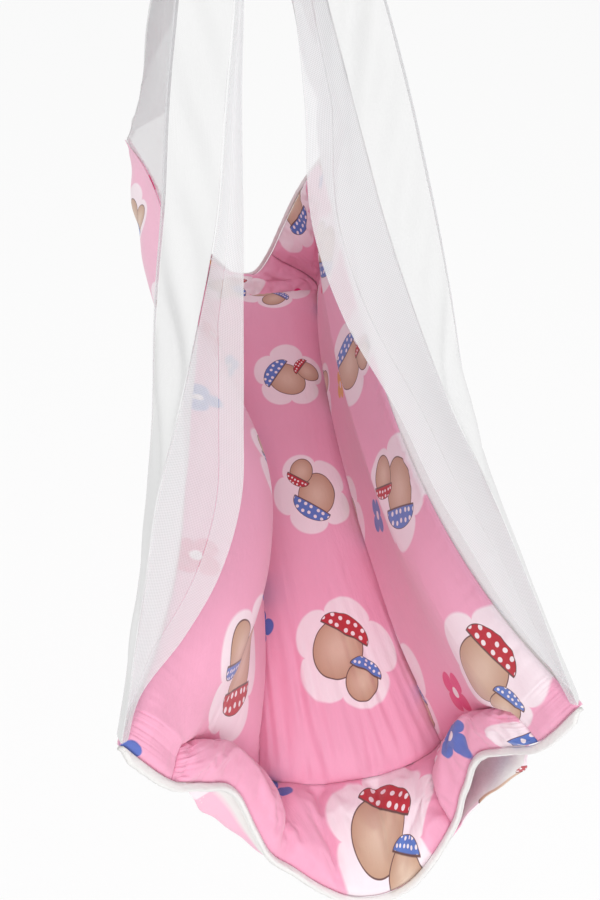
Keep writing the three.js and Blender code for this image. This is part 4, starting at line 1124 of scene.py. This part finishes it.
# The hook's wire: a cubic curve down from the shank, then most of a circle
hookTurns = np.radians(np.linspace(swivel["hookFrom"], swivel["hookTo"], 90))
hookX = swivel["hook"] * np.cos(hookTurns)
hookZ = swivel["hookMiddle"] + swivel["hook"] * np.sin(hookTurns)
t = np.linspace(0, 1, 16)[:-1]
cubic = lambda a, b, c, d: a * (1 - t) ** 3 + 3 * b * t * (1 - t) ** 2 + 3 * c * t**2 * (1 - t) + d * t**3
start, lead, angle = shankFoot + swivel["leadRise"], swivel["lead"], math.radians(swivel["hookFrom"])
leadX = cubic(0.0, 0.0, hookX[0] - lead * math.sin(angle), hookX[0])
leadZ = cubic(start, start - lead, hookZ[0] + lead * math.cos(angle), hookZ[0])
pathX, pathZ = np.concatenate([leadX, hookX]), np.concatenate([leadZ, hookZ])
hookWire = tube("hookWire", wire(pathX, pathZ, swivel["hookWire"], False, "xz"))
swivelHook = joinPieces("swivelHook", hookWire, head, shank)
fit(swivelHook, zincSteel, ["swivel_hook"], "hook")
print("hardware ready")

# Studio: white all round, a key light above and behind the camera, a weak fill from low on the right, and a
# pale floor well below the bed. Sizes and places are in metres, powers in watts
studio = {
    "floorZ": -1.6, "floorHalf": 9, "floorPaint": "F4F4F4", "floorGlow": 0.85, "worldLevel": 0.7,
    "keyPower": 56, "keySize": 1.4, "keyPlace": (-0.3, -2.0, 2.5),
    "fillPower": 8, "fillSize": 1.6, "fillPlace": (1.4, -1.9, -0.6), "aim": (0, 0, -0.8),
}
world = bpy.data.worlds.new("studio")
bpy.context.scene.world = world
world.use_nodes = True
world.node_tree.nodes.clear()
add = partial(addNode, world.node_tree)
path = add("LightPath")
seen = {0: path.outputs["Is Camera Ray"], 1: path.outputs["Is Glossy Ray"]}
seen = add("Math MAXIMUM", seen)
level = add("MapRange", seen, 0.0, 1.0, studio["worldLevel"], 1.0)
add("OutputWorld", add("Background", (1, 1, 1, 1), level))

# Painted floor, which the camera sees nearly as bright as the white round it
floorMaterial, add = newMaterial("paintedStudioFloor")
path = add("LightPath")
paintwork = add("BsdfDiffuse", hexColour(studio["floorPaint"]))
glow = add("Emission", (1, 1, 1, 1), 1.0)
share = add("Math MULTIPLY", path.outputs["Is Camera Ray"], studio["floorGlow"])
add("OutputMaterial", add("MixShader", share, paintwork, glow))
half, floorZ = studio["floorHalf"] / mm, studio["floorZ"] / mm
corners = [(-half, -half, floorZ), (half, -half, floorZ), (half, half, floorZ), (-half, half, floorZ)]
floor = makePiece("studioFloor", corners, [(0, 1, 2, 3)])
floor.data.materials.append(floorMaterial)

for lampName in ("key", "fill"):
    lamp = bpy.data.lights.new(lampName + "Lamp", "AREA")
    lamp.energy, lamp.size = studio[lampName + "Power"], studio[lampName + "Size"]
    holder = bpy.data.objects.new(lampName + "Lamp", lamp)
    bpy.context.scene.collection.objects.link(holder)
    place = Vector(studio[lampName + "Place"])
    turn = (Vector(studio["aim"]) - place).to_track_quat("-Z", "Y").to_matrix().to_4x4()
    holder.matrix_world = Matrix.Translation(place) @ turn

bpy.context.scene.view_settings.view_transform = "Standard"
print("studio ready")
